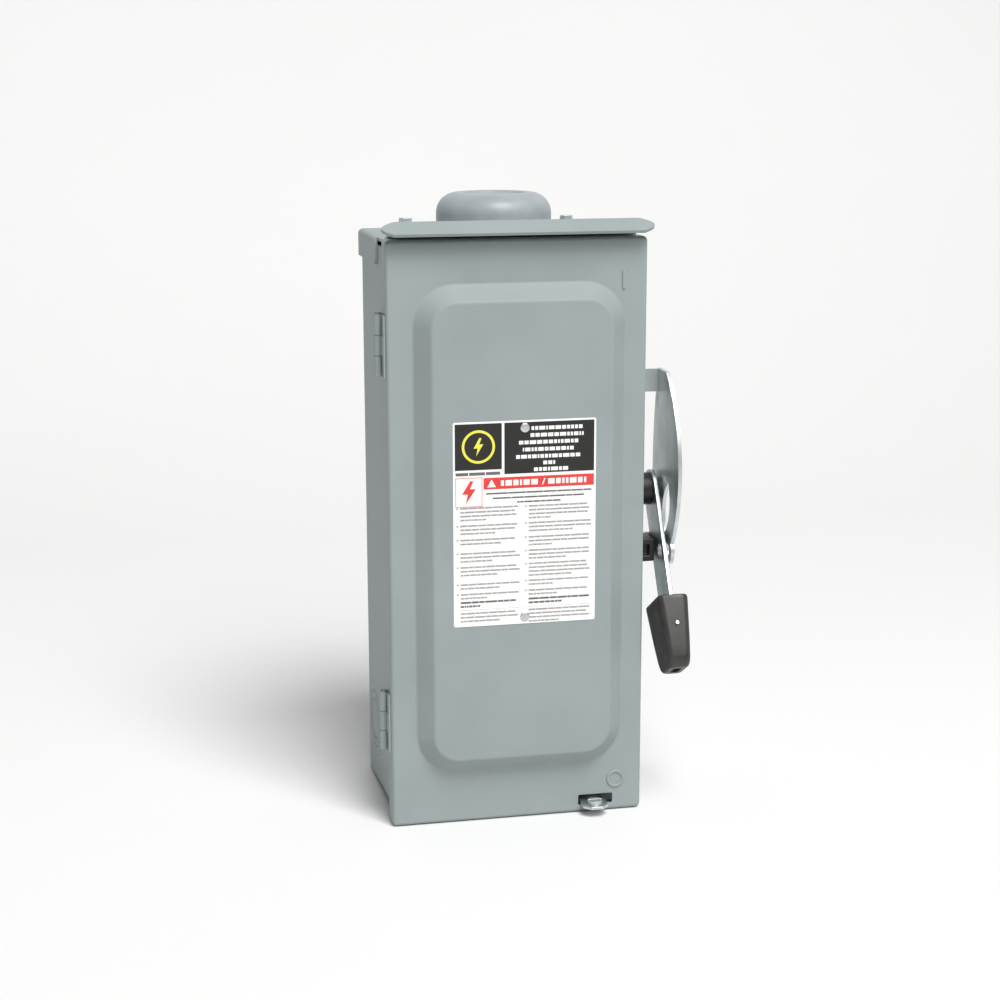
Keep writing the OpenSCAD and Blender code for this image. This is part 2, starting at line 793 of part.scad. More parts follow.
module cheek_outline() {
  difference() {
    union() {
      translate([pivot_y, pivot_z - cheek_r]) square([back_y - cheek_t - pivot_y, 2 * cheek_r]);
      translate([pivot_y, pivot_z]) circle(cheek_r);
    }
    translate([pivot_y, pivot_z]) circle(shaft_r + run);
  }
}

module mechanism_screw_holes() {
  for (p = frame_screw_at) translate(p) circle(frame_screw_r);
}

module mechanism_frame() {
  color(zinc) difference() {
    union() {
      along_x(left_cheek_x, left_cheek_x + cheek_t) cheek_outline();
      along_x(right_cheek_x, right_cheek_x + cheek_t) cheek_outline();
      block([left_cheek_x, back_y - cheek_t, pivot_z - cheek_r],
        [right_cheek_x + cheek_t, back_y, pivot_z + cheek_r]);
    }
    along_y(back_y - cheek_t - 1, back_y + 1) mechanism_screw_holes();
  }
}

module mechanism_screws() {
  color(steel) for (p = frame_screw_at)
    facing_front([p[0], back_y - cheek_t, p[1]]) screw(2 * frame_screw_r, 2.4, frame_screw_r, cheek_t + sheet_t);
}

// Coil of round wire round the shaft, worked out ring by ring
spring_turns = 5;
spring_wire_r = 0.9;
spring_coil_r = shaft_r + 2.4;
spring_steps = 20;
spring_sides = 8;
spring_len = spring_room - 2.6;

function spring_point(i, j) =
  let (turn = 360 * i / spring_steps, side = 360 * j / spring_sides)
  let (r = spring_coil_r + spring_wire_r * cos(side))
  [spring_len * i / (spring_steps * spring_turns) + spring_wire_r * sin(side), r * cos(turn), r * sin(turn)];

module toggle_spring() {
  rings = spring_steps * spring_turns;
  points = [for (i = [0:rings], j = [0:spring_sides - 1]) spring_point(i, j)];
  walls = [for (i = [0:rings - 1], j = [0:spring_sides - 1]) let (k = (j + 1) % spring_sides)
    [i * spring_sides + j, i * spring_sides + k, (i + 1) * spring_sides + k, (i + 1) * spring_sides + j]];
  first = [[for (j = [spring_sides - 1:-1:0]) j]];
  last = [[for (j = [0:spring_sides - 1]) rings * spring_sides + j]];
  color(steel) translate([right_cheek_x - spring_len - spring_wire_r, pivot_y, pivot_z])
    polyhedron(points, concat(walls, first, last));
}

// Moving crossbar with the drive arm that the crank picks up through a curved slot
slot_turn = handle_turn - blade_turn;

module drive_arm_outline() {
  slot_at = 90 + crank_rest;
  play = crank_pin_r + 0.3;
  spread = asin(play / crank_pin_at);
  edge = 22;
  difference() {
    union() {
      circle(shaft_r + 5);
      ring_sector(0, crank_pin_at + crank_pin_r + 4, slot_at - slot_turn - edge, slot_at + edge);
      rotate(90 + blade_rest) translate([0, -bar_size / 2]) square([bar_at + bar_size / 2, bar_size]);
    }
    circle(shaft_r + run);
    ring_sector(crank_pin_at - play, crank_pin_at + play, slot_at - slot_turn - spread, slot_at + spread);
  }
}

// Part of a flat ring between two radii and two angles under half a turn apart
module ring_sector(r0, r1, a0, a1) {
  far = 2 * r1;
  mid = (a0 + a1) / 2;
  difference() {
    intersection() {
      circle(r1);
      polygon([[0, 0], [far * cos(a0), far * sin(a0)], [far * cos(mid), far * sin(mid)],
        [far * cos(a1), far * sin(a1)]]);
    }
    if (r0 > 0) circle(r0);
  }
}

module crossbar() {
  color([0.45, 0.16, 0.12]) {
    difference() {
      along_x(base_x0 + rib_t + 2, drive_x + eps) at_pivot(blade_rest) translate([bar_at, 0])
        round_rect(bar_size, bar_size, 2);
      for (x = pole_x) along_x(x - blade_t / 2, x + blade_t / 2) at_pivot(blade_rest)
        translate([bar_at, 0]) square([2 * bar_size, blade_neck], center = true);
    }
    along_x(drive_x, drive_x + drive_t) translate([pivot_y, pivot_z]) drive_arm_outline();
  }
}

module switch_blades() {
  color(copper) for (x = pole_x) along_x(x - blade_t / 2, x + blade_t / 2) at_pivot(blade_rest) difference() {
    union() {
      circle(blade_w / 2 - 0.5);
      translate([0, -blade_neck / 2]) square([blade_l - 8, blade_neck]);
      translate([0, -blade_w / 2 + 0.5]) square([bar_at - bar_size / 2, blade_w - 1]);
      translate([bar_at + bar_size / 2, -blade_w / 2]) square([blade_l - bar_at - bar_size / 2 - 3, blade_w]);
      translate([bar_at + bar_size / 2, -blade_w / 2 + 3]) square([blade_l - bar_at - bar_size / 2, blade_w - 6]);
      for (s = [-1, 1]) translate([blade_l - 3, s * (blade_w / 2 - 3)]) circle(3);
    }
    circle(rivet_r + run);
  }
}

module lever_outline() {
  difference() {
    union() {
      circle(lever_w / 2);
      translate([0, -lever_w / 2]) square([lever_end, lever_w]);
    }
    circle(shaft_end_r);
    translate([lock_u, lock_v]) circle(lock_r);
  }
}

module handle_lever() {
  color(zinc) along_x(lever_x, lever_x + lever_t) at_pivot(lever_rest) lever_outline();
}

module lever_hub() {
  color(black) translate([side_x + boss_gap, pivot_y, pivot_z]) rotate([0, 90, 0]) difference() {
    cylinder(r = hub_boss_r, h = lever_out - boss_gap);
    translate([0, 0, -1]) cylinder(r = shaft_r, h = lever_out + 2);
  }
}

module grip_slab(u, t, d, r) {
  translate([lever_x + lever_t / 2, u, 0]) rotate([90, 0, 0]) linear_extrude(1) round_rect(t, d, r, $fn = 32);
}

module handle_grip() {
  u0 = grip_start;
  u1 = grip_start + grip_l;
  color(black) lever_frame() difference() {
    hull() {
      grip_slab(u0 + 1, grip_t - 2, grip_d - 2, 3);
      grip_slab(u0 + 2.5, grip_t, grip_d, 4);
      grip_slab(u1 - 8, grip_t * 0.8, grip_d * 0.87, 4);
      grip_slab(u1 - 2, grip_t * 0.7, grip_d * 0.72, 4);
      grip_slab(u1, grip_t * 0.55, grip_d * 0.56, 3);
    }
    block([lever_x, u0 - 1, -lever_w / 2], [lever_x + lever_t, lever_end, lever_w / 2]);
    block([lever_x - 1, u1 - 2, -5], [lever_x + lever_t + 1, u1 + 1, 5]);
    translate([lever_x + lever_t / 2, grip_screw_u, -grip_d]) cylinder(r = grip_screw_r, h = grip_d - lever_w / 2);
  }
}

module grip_screw() {
  head_v = -grip_d / 2 - 0.4;
  color(zinc) lever_frame() translate([lever_x + lever_t / 2, grip_screw_u, head_v])
    cylinder(r = grip_screw_r, h = -head_v - lever_w / 2);
}

module handle_shaft() {
  color(steel) translate([0, pivot_y, pivot_z]) rotate([0, 90, 0]) {
    translate([0, 0, shaft_x0]) cylinder(r = shaft_r, h = lever_x - shaft_x0);
    translate([0, 0, lever_x]) cylinder(r = shaft_end_r, h = lever_t);
    translate([0, 0, lever_x + lever_t]) cylinder(r = shaft_r + 1.5, h = 1.2);
  }
}

module crank() {
  color(zinc) {
    along_x(crank_x, crank_x + crank_t) at_pivot(crank_rest) difference() {
      union() {
        circle(arm_eye_r);
        translate([0, -arm_w / 2]) square([crank_pin_at, arm_w]);
        translate([crank_pin_at, 0]) circle(arm_w / 2);
      }
      circle(shaft_r);
    }
    along_x(drive_x - 1, crank_x) at_pivot(crank_rest) translate([crank_pin_at, 0]) circle(crank_pin_r);
  }
}

module interlock_hook() {
  color(zinc) {
    along_x(hook_x, hook_x + hook_t) at_pivot(hook_rest) difference() {
      union() {
        circle(arm_eye_r);
        translate([0, -arm_w / 2]) square([hook_pin_at, arm_w]);
        translate([hook_pin_at, 0]) circle(arm_w / 2);
      }
      circle(shaft_r);
    }
    along_x(hook_x + hook_t, right_cheek_x - 2) at_pivot(hook_rest) translate([hook_pin_at, 0]) circle(hook_pin_r);
  }
}

// Catch on the cover: reaches back past the place the hook's pin takes up when the switch is on
catch_x = hook_x + hook_t + 6;
hook_on = hook_rest - handle_turn;
catch_pin_y = pivot_y - hook_pin_at * sin(hook_on);
catch_pin_z = pivot_z + hook_pin_at * cos(hook_on);

module cover_catch() {
  back = catch_pin_y + 11;
  color(zinc) {
    along_x(catch_x, catch_x + 2) {
      translate([cover_in_y, catch_pin_z + 5]) square([back - cover_in_y, 9]);
      translate([back - 6, catch_pin_z - 6]) square([6, 20]);
    }
    block([catch_x - 10, cover_in_y, catch_pin_z + 5], [catch_x + 2, cover_in_y + 2, catch_pin_z + 14]);
  }
}

module fuse_tube(x) {
  color([0.55, 0.45, 0.33]) translate([x, fuse_y, fuse_bottom + ferrule_l])
    cylinder(r = fuse_r - 0.5, h = fuse_l - 2 * ferrule_l);
}

module fuse_caps(x) {
  color([0.75, 0.6, 0.42]) for (z = [fuse_bottom, fuse_top - ferrule_l])
    translate([x, fuse_y, z]) cylinder(r = fuse_r, h = ferrule_l);
}

// Raised panel as a solid: round-cornered rectangles at its foot and at its face
module panel_solid(inset) {
  foot_w = panel_w + 2 * (panel_slope - inset);
  foot_h = panel_h + 2 * (panel_slope - inset);
  translate([panel_x, 0, panel_z]) hull() {
    along_y(cover_y - 0.01, cover_y + inset + 0.01) round_rect(foot_w, foot_h, panel_r + panel_slope - inset);
    along_y(panel_y + inset, panel_y + inset + 0.01) round_rect(panel_w - inset, panel_h - inset, panel_r);
  }
}

module cover_tray(y0, y1, w, h, r) {
  along_y(y0, y1) round_rect(w, h, r);
}

// Switch marks pressed into the cover: an upright bar for on and a ring for off
module switch_marks() {
  mark_h = 0.5;
  along_y(cover_y - mark_h, cover_y + 0.1) {
    translate([66, top_z - 25]) square([2.4, 12], center = true);
    translate([64, low_z + 20]) difference() {
      circle(6);
      circle(3.8);
    }
  }
}

module cover() {
  color(painted) difference() {
    union() {
      cover_tray(cover_y, lip_y, cover_w, cover_h, cover_r);
      panel_solid(0);
      switch_marks();
    }
    cover_tray(cover_in_y, lip_y + 1, cover_w - 2 * sheet_t, cover_h - 2 * sheet_t, cover_r - sheet_t);
    panel_solid(sheet_t);
    block([slot_x[0], cover_y - 1, slot_z[0]], [slot_x[1], cover_in_y + 1, slot_z[1]]);
  }
}

module cover_label() {
  color("white") along_y(panel_y - label_t, panel_y) translate([label_x, label_z])
    round_rect(label_w, label_h, 1);
}

module label_rivets() {
  color(zinc) along_y(panel_y - label_t - 0.8, panel_y - label_t)
    for (s = [-1, 1]) translate([label_x, label_z + s * rivet_span / 2]) circle(3);
}

body_shell();
body_bottom();
body_ledge();
top_hood();
hub_cap();
hub_gasket();
hub_screws();
side_knockouts();
bottom_knockouts();
body_hinge_leaves();
hinge_pins();
handle_guard();
guard_rivets();
shaft_bushing();
lever_stop_block();
cover_hasp();
hasp_screw();
switch_base();
base_screws();
line_lugs();
line_lug_screws();
line_jaws();
line_shield();
blade_hinge_clips();
blade_pivot_rivets();
upper_fuse_clips();
lower_fuse_clips();
load_lugs();
load_lug_screws();
neutral_insulator();
neutral_bar();
neutral_screws();
ground_bar();
ground_screws();
mechanism_frame();
mechanism_screws();
toggle_spring();
crossbar();
switch_blades();
handle_lever();
lever_hub();
handle_grip();
grip_screw();
handle_shaft();
crank();
interlock_hook();
fuse_tube(pole_x[0]);  // left_fuse_tube
fuse_caps(pole_x[0]);  // left_fuse_caps
fuse_tube(pole_x[1]);  // right_fuse_tube
fuse_caps(pole_x[1]);  // right_fuse_caps
cover();
cover_hinge_leaves();
cover_catch();
cover_label();
label_rivets();
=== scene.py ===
"""Rainproof safety switch box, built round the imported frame.

Lengths are in millimetres until a mesh is made: X to the right, Y into the wall, Z up.
"""

import json
import math
import bmesh
import bpy
import numpy as np
from mathutils import Matrix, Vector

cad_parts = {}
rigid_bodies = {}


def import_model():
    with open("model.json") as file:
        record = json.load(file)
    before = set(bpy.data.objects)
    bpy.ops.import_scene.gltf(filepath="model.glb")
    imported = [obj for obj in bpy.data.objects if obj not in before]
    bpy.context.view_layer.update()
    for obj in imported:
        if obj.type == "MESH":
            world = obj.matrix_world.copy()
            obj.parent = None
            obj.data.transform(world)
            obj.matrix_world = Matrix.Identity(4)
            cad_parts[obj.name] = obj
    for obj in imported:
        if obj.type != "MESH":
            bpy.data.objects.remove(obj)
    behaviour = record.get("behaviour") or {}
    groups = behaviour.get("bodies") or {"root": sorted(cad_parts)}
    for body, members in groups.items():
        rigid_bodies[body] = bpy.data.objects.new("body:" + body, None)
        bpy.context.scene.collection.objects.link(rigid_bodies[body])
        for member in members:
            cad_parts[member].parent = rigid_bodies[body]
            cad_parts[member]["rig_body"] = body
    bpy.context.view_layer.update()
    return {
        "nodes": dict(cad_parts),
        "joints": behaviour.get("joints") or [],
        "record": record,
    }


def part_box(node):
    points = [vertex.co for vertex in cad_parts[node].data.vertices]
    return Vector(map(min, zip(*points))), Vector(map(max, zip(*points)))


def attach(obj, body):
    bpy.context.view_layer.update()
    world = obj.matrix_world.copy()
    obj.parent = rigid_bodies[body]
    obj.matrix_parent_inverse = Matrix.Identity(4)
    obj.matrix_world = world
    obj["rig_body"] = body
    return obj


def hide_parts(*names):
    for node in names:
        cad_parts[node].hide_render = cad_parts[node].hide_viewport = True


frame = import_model()
MM = 0.001
slot_of = {part["node"]: part["material_slot"] for part in frame["record"]["subparts"]}
body_of = {name: node["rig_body"] for name, node in frame["nodes"].items()}


def corners(node):
    """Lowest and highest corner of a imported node, in millimetres."""
    low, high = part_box(node)
    return np.array(low) / MM, np.array(high) / MM


# ---------------------------------------------------------------- sizes, in millimetres
shell_low, shell_high = corners("body_shell")
cover_low, cover_high = corners("cover")
hood_low, hood_high = corners("top_hood")
bottom_low = corners("body_bottom")[0]
ledge_high = corners("body_ledge")[1]
label_low, label_high = corners("cover_label")
cap_low, cap_high = corners("hub_cap")
lever_low, lever_high = corners("handle_lever")
pivot = np.array(next(j for j in frame["joints"] if j["name"] == "handle_turn")["pos_m"]) / MM
SHEET = 1.5
HOOD_SHEET = 2.0
RIM = 8.0
FOLD_ROUND = 2.2
SHEET_EDGE = 0.2
PANEL_HIGH = 9.5
side = shell_high[0]
rim_y = shell_low[1]
floor_z = bottom_low[2]
ledge_z = ledge_high[2]
panel_y = label_high[1]
cover_y = panel_y + PANEL_HIGH
lip_y = cover_high[1]


# ---------------------------------------------------------------- shapes
def fillet_path(points, radii, steps=7):
    """Open path with rounded corners: each corner gives way to an arc that touches both its legs.
    The arc's centre is on the bisector, and its points are a slerp between the two spokes to the legs."""
    points = np.asarray(points, float)
    out = [points[:1]]
    for before, corner, after, radius in zip(points, points[1:], points[2:], radii):
        if radius <= 0:
            out.append(corner[None])
            continue
        a = (before - corner) / np.linalg.norm(before - corner)
        b = (after - corner) / np.linalg.norm(after - corner)
        half = math.acos(float(np.clip(a @ b, -1, 1))) / 2
        centre = corner + (a + b) / np.linalg.norm(a + b) * radius / math.sin(half)
        start, end = (corner + leg * radius / math.tan(half) - centre for leg in (a, b))
        turn = math.pi - 2 * half
        t = np.linspace(0, 1, steps)[:, None]
        out.append(centre + (np.sin((1 - t) * turn) * start + np.sin(t * turn) * end) / math.sin(turn))
    out.append(points[-1:])
    return np.concatenate(out)


def beside(path, distance):
    """The path moved sideways, to the left of its travel: each point goes along the mitre of its two legs."""
    leg = np.diff(path, axis=0)
    normal = np.stack([-leg[:, 1], leg[:, 0]], -1) / np.linalg.norm(leg, axis=1)[:, None]
    first = np.vstack([normal[:1], normal])
    mitre = first + np.vstack([normal, normal[-1:]])
    return path + distance * mitre / np.sum(mitre * first, axis=1)[:, None]


def round_rect(half_w, half_h, radius, steps=16):
    """Loop of a rectangle with round corners: four quarter circles joined by straight sides."""
    radius = min(radius, half_w, half_h)
    turn = (np.arange(4)[:, None] * np.pi / 2 + np.linspace(0, np.pi / 2, steps)).ravel()
    across = np.repeat([1, -1, -1, 1], steps) * (half_w - radius) + radius * np.cos(turn)
    up = np.repeat([1, 1, -1, -1], steps) * (half_h - radius) + radius * np.sin(turn)
    return np.stack([across, up], -1)


def loft(rings, caps=True, round_again=False):
    """Skin over closed rings of equally many points: point k of a ring joins point k of the next.
    Flat caps close the ends, unless the last ring runs on into the first."""
    rings = np.asarray(rings, float)
    count, size = rings.shape[:2]
    i = np.arange(count if round_again else count - 1)[:, None]
    j = np.arange(size)[None]
    k, after = (j + 1) % size, (i + 1) % count
    quads = np.stack([i * size + j, i * size + k, after * size + k, after * size + j], -1)
    quads = quads.reshape(-1, 4).tolist()
    if caps and not round_again:
        quads += [list(range(size))[::-1], list(range((count - 1) * size, count * size))]
    return rings.reshape(-1, 3), quads


def folded(outer, inner, near, far):
    """Folded sheet: a path and its other side, both carried from a near end to a far end.
    near and far turn a path into points in space; strips close the sheet along every edge."""
    n = len(outer)
    i = np.arange(n - 1)
    a, b, c, d = i, i + n, i + 2 * n, i + 3 * n
    faces = np.concatenate([
        np.stack([a, a + 1, c + 1, c], -1), np.stack([b + 1, b, d, d + 1], -1),
        np.stack([a + 1, a, b, b + 1], -1), np.stack([c, c + 1, d + 1, d], -1),
        [[0, 2 * n, 3 * n, n], [n - 1, 2 * n - 1, 4 * n - 1, 3 * n - 1]],
    ])
    return np.concatenate([near(outer), near(inner), far(outer), far(inner)]), faces.tolist()


def turned(profile, origin, axis, steps=72):
    """Turned part: a profile of (radius, distance along the axis) swept round the axis through origin."""
    axis = np.asarray(axis, float)
    side_way = np.cross(axis, [0.0, 0.0, 1.0] if abs(axis[2]) < 0.9 else [1.0, 0.0, 0.0])
    side_way /= np.linalg.norm(side_way)
    other = np.cross(axis, side_way)
    turn = np.linspace(0, 2 * np.pi, steps, endpoint=False)
    round_way = np.cos(turn)[:, None] * side_way + np.sin(turn)[:, None] * other
    profile = np.asarray(profile, float)
    rings = np.asarray(origin, float) + profile[:, :1, None] * round_way + profile[:, 1:, None] * axis
    return loft(rings)


def prism(loop, place, low, high):
    """A flat loop carried straight from low to high; place turns (loop, level) into points in space."""
    return loft([place(loop, low), place(loop, high)])


def facing(loop, y):
    """Loop in X and Z laid in a plane across Y."""
    return np.column_stack([loop[:, 0], np.full(len(loop), y), loop[:, 1]])


def level(loop, z):
    """Loop in X and Y laid flat at height z."""
    return np.column_stack([loop, np.full(len(loop), z)])


def joined(*parts):
    """Several skins as one list of points and faces."""
    points, faces, start = [], [], 0
    for part_points, part_faces in parts:
        points.append(part_points)
        faces += [[v + start for v in face] for face in part_faces]
        start += len(part_points)
    return np.concatenate(points), faces


# In metres, as meshes are: points this close are one, an edge this close is on a bend, a bend is this long
WELD = 2e-6
SAME_LINE = 3e-5
SHORTEST_BEND = 2e-4
FLAT_ANGLE, CORNER_ANGLE, SHADE_ANGLE = (math.radians(a) for a in (0.6, 38, 40))


def raw_object(name, shape):
    """Plain object from points in millimetres and faces, with its faces turned outwards."""
    mesh = bpy.data.meshes.new(name)
    mesh.from_pydata((np.asarray(shape[0]) * MM).tolist(), [], shape[1])
    sheet = bmesh.new()
    sheet.from_mesh(mesh)
    bmesh.ops.remove_doubles(sheet, verts=sheet.verts, dist=WELD)
    bmesh.ops.recalc_face_normals(sheet, faces=sheet.faces)
    sheet.to_mesh(mesh)
    sheet.free()
    obj = bpy.data.objects.new(name, mesh)
    bpy.context.scene.collection.objects.link(obj)
    return obj


def shaped(name, base, cut=None, add_on=None):
    """Base shape with another shape welded on and a cutting shape taken away."""
    obj = raw_object(name, base)
    for shape, operation in ((add_on, "UNION"), (cut, "DIFFERENCE")):
        if not shape:
            continue
        tool = raw_object("tool", shape)
        step = obj.modifiers.new("step", "BOOLEAN")
        step.operation, step.solver, step.object = operation, "EXACT", tool
        made = obj.evaluated_get(bpy.context.evaluated_depsgraph_get())
        mesh = bpy.data.meshes.new_from_object(made)
        obj.modifiers.clear()
        obj.data = mesh
        bpy.data.objects.remove(tool)
    return obj


def finish(obj, material, body, stands_for=(), edge=0.0, bends=()):
    """Eases the sharp edges of a piece, shades it smooth between them, and hangs it on its body.
    edge is the width of the easing; bends are (x, y, z, width), with None for the way an edge runs."""
    sheet = bmesh.new()
    sheet.from_mesh(obj.data)
    bmesh.ops.remove_doubles(sheet, verts=sheet.verts, dist=WELD)
    bmesh.ops.dissolve_limit(sheet, angle_limit=FLAT_ANGLE, verts=sheet.verts, edges=sheet.edges)
    for *line, width in bends:
        held = [(k, v * MM) for k, v in enumerate(line) if v is not None]
        chosen = [e for e in sheet.edges if e.calc_length() > SHORTEST_BEND
                  and all(abs(v.co[k] - at) < SAME_LINE for v in e.verts for k, at in held)]
        bmesh.ops.bevel(sheet, geom=chosen, offset=width * MM, segments=6, profile=0.5, affect="EDGES")
    if edge:
        sharp = [e for e in sheet.edges if e.is_manifold and e.calc_face_angle(0) > CORNER_ANGLE]
        bmesh.ops.bevel(sheet, geom=sharp, offset=edge * MM, segments=2, profile=0.5, affect="EDGES",
                        clamp_overlap=True)
    sheet.to_mesh(obj.data)
    sheet.free()
    obj.data.shade_smooth()
    obj.data.set_sharp_from_angle(angle=SHADE_ANGLE)
    flats = obj.modifiers.new("flat faces stay flat", "WEIGHTED_NORMAL")
    flats.keep_sharp = True
    obj.data.materials.clear()
    obj.data.materials.append(material)
    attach(obj, body)
    if stands_for:
        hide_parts(*stands_for)


def eased(node, edge, bends=()):
    """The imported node's own shape, welded and with its edges eased as a press, mould or lathe leaves them."""
    obj = bpy.data.objects.new(node + "_eased", frame["nodes"][node].data.copy())
    bpy.context.scene.collection.objects.link(obj)
    finish(obj, finishes[slot_of[node]], body_of[node], [node], edge, bends)


def piece(name, node, shape, edge=0.0, cut=None, add_on=None):
    """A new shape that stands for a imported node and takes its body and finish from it."""
    obj = shaped(name, shape, cut, add_on)
    finish(obj, finishes[slot_of[node]], body_of[node], [node], edge)


# ---------------------------------------------------------------- finishes
def linear(hex_colour):
    """Light values of an sRGB hex colour: the screen curve undone, channel by channel."""
    c = np.array([int(hex_colour[i:i + 2], 16) for i in (1, 3, 5)]) / 255
    return (*np.where(c <= 0.04045, c / 12.92, ((c + 0.055) / 1.055) ** 2.4).tolist(), 1.0)


def add(tree, kind, sockets=None, **settings):
    """Adds a shader node: settings are its properties.
    sockets are its inputs' values, or the outputs that feed them."""
    node = tree.nodes.new("ShaderNode" + kind)
    for key, value in settings.items():
        setattr(node, key, value)
    for key, value in (sockets or {}).items():
        if isinstance(value, bpy.types.NodeSocket):
            tree.links.new(value, node.inputs[key])
        else:
            node.inputs[key].default_value = value
    return node


def surface(name, tones, patch_mm, gloss, grain_mm, grain_high_mm, stretch=(1, 1, 1), fine=None,
            marks=None, **fixed):
    """Finish of two tones mixed by broad noise, roughness that wanders with it, and grain as relief.
    fine is a second, smaller grain as (size, height).
    marks are specks or stains as (colour, size, share, roughness); fixed are even values of the shader."""
    material = bpy.data.materials.new(name)
    material.use_nodes = True
    tree = material.node_tree
    tree.nodes.clear()
    object_place = add(tree, "TexCoord").outputs["Object"]
    place = add(tree, "Mapping", {"Vector": object_place, "Scale": stretch}).outputs[0]

    def noise(size_mm, detail):
        """Noise whose blotches are size_mm across."""
        scale = 1 / (size_mm * MM)
        return add(tree, "TexNoise", {"Vector": place, "Scale": scale, "Detail": detail}).outputs[0]

    def ramp(value, low, high, to_low=0.0, to_high=1.0):
        """Value stretched from one range to another, held at its ends."""
        return add(tree, "MapRange", {"Value": value, "From Min": low, "From Max": high,
                                      "To Min": to_low, "To Max": to_high}).outputs[0]

    def blend(share, first, second):
        """Colour between first and second."""
        return add(tree, "Mix", {0: share, 6: first, 7: second}, data_type="RGBA").outputs[2]

    patch = noise(patch_mm, 5.0)
    colour = blend(ramp(patch, 0.32, 0.68), linear(tones[0]), linear(tones[1]))
    rough = ramp(patch, 0.3, 0.7, *gloss)
    if marks:
        hex_colour, size, share, dull = marks
        where = ramp(noise(size, 2.0), 1 - share, 1.06 - share)
        colour = blend(where, colour, linear(hex_colour))
        rough = add(tree, "Mix", {0: where, 2: rough, 3: dull}, data_type="FLOAT").outputs[0]
    relief = add(tree, "Bump", {"Height": noise(grain_mm, 3.0), "Distance": grain_high_mm * MM}).outputs[0]
    if fine:
        size, height = fine
        relief = add(tree, "Bump", {"Height": noise(size, 1.0), "Distance": height * MM,
                                    "Normal": relief}).outputs[0]
    shader = add(tree, "BsdfPrincipled",
                 {"Base Color": colour, "Roughness": rough, "Normal": relief, **fixed})
    add(tree, "OutputMaterial", {"Surface": shader.outputs[0]})
    return material


finishes = {
    # Powder coat baked on sheet steel: a satin grey with the soft dimples of orange peel about 2.5 mm across
    "painted_steel": surface("powder_coated_sheet_steel", ("#929B9B", "#98A1A1"), 60, (0.46, 0.56), 2.6,
                             0.012, fine=(0.5, 0.002), **{"IOR": 1.5, "Specular IOR Level": 0.2}),
    # Painted zinc casting: bluer and a little coarser than the sheet, from the sand-like skin under its paint
    "cast_hub": surface("painted_zinc_casting", ("#969DA0", "#A1A8AB"), 14, (0.36, 0.5), 1.4, 0.03,
                        fine=(0.45, 0.008), **{"IOR": 1.5}),
    # Moulded neoprene: dull black with talc left in its skin
    "gasket": surface("black_neoprene_gasket", ("#161616", "#202020"), 9, (0.75, 0.9), 0.7, 0.02,
                      **{"IOR": 1.52}),
    # Bright zinc plate with a clear blue passivate: mottled mirror streaks along the rolled strip
    "zinc_plate": surface("bright_zinc_plated_steel", ("#DDE1E2", "#CED3D4"), 12, (0.36, 0.46), 1.2, 0.004,
                          stretch=(1, 1, 0.5), marks=("#C3C8C9", 11.0, 0.36, 0.5), **{"Metallic": 1.0}),
    # Plain cold-drawn steel: darker, with fine drawing lines
    "bright_steel": surface("cold_drawn_steel", ("#A7A9AC", "#8C8E92"), 5, (0.25, 0.4), 0.5, 0.004,
                            stretch=(0.2, 1, 1), **{"Metallic": 1.0}),
    # Phenolic moulding: near black, faintly glossy, with flow marks and a fine grain
    "black_moulding": surface("black_phenolic_moulding", ("#1B1B1B", "#262625"), 11, (0.38, 0.55), 0.9, 0.015,
                              marks=("#3A3936", 0.8, 0.3, 0.7), **{"IOR": 1.6}),
    # Vinyl-dipped grip: warm charcoal, matt, with a spark-eroded grain and rubbed, paler patches
    "grip_moulding": surface("charcoal_vinyl_grip", ("#2E2D2B", "#3A3936"), 9, (0.36, 0.55), 0.9, 0.04,
                             fine=(0.3, 0.01), **{"IOR": 1.53}),
    # Glass-filled polyester: oxide red with pale glass flecks
    "red_moulding": surface("red_glass_polyester", ("#6E2219", "#7D2A1F"), 8, (0.4, 0.55), 0.8, 0.02,
                            marks=("#A3705F", 0.7, 0.32, 0.6), **{"IOR": 1.55}),
    # Vulcanised fibre sheet: grey-buff paper layers, long soft fibres along the sheet
    "fibre_sheet": surface("vulcanised_fibre_sheet", ("#8E8A7C", "#A19C8C"), 5, (0.6, 0.75), 0.9, 0.02,
                           stretch=(0.25, 1, 1), **{"IOR": 1.5}),
    # Tin-flashed copper: warm metal, browner where the flash is thin
    "copper": surface("tin_flashed_copper", ("#CBA084", "#BD8E70"), 6, (0.3, 0.45), 0.6, 0.006,
                      marks=("#96705A", 4.0, 0.36, 0.5), **{"Metallic": 1.0}),
    # Extruded aluminium with a light tin plate: pale, with die lines along the bar
    "lug_aluminium": surface("tin_plated_aluminium", ("#D2D4D6", "#BFC2C5"), 6, (0.3, 0.45), 0.35, 0.008,
                             stretch=(1, 1, 0.12), **{"Metallic": 1.0}),
    # Spiral-wound fibre tube: tan paper with darker seams
    "fuse_paper": surface("wound_fibre_tube", ("#A98D63", "#95784F"), 6, (0.5, 0.65), 0.8, 0.02,
                          stretch=(1, 1, 0.3), marks=("#7C623F", 1.6, 0.33, 0.7), **{"IOR": 1.5}),
    # Screen-printed polyester film: clean white under a clear coat, almost flat
    "label_film": surface("white_polyester_film", ("#F4F4F1", "#FAFAF8"), 25, (0.3, 0.38), 4.0, 0.006,
                          **{"IOR": 1.57}),
}
# Screen inks: thin, even and satin, with only the mesh's faint ripple
ink = {
    name: surface("ink_" + name, tones, 8, (0.35, 0.45), 0.8, 0.004, **{"IOR": 1.5})
    for name, tones in {
        "black": ("#1D1C1B", "#232221"), "red": ("#D93A35", "#DF4540"), "yellow": ("#E6E04A", "#EAE55A"),
        "grey": ("#9C9C9A", "#A6A6A4"), "dark": ("#5E5E5D", "#686867"), "pink": ("#DE8078", "#E28A82"),
        "white": ("#F4F4F1", "#F8F8F6"),
    }.items()
}

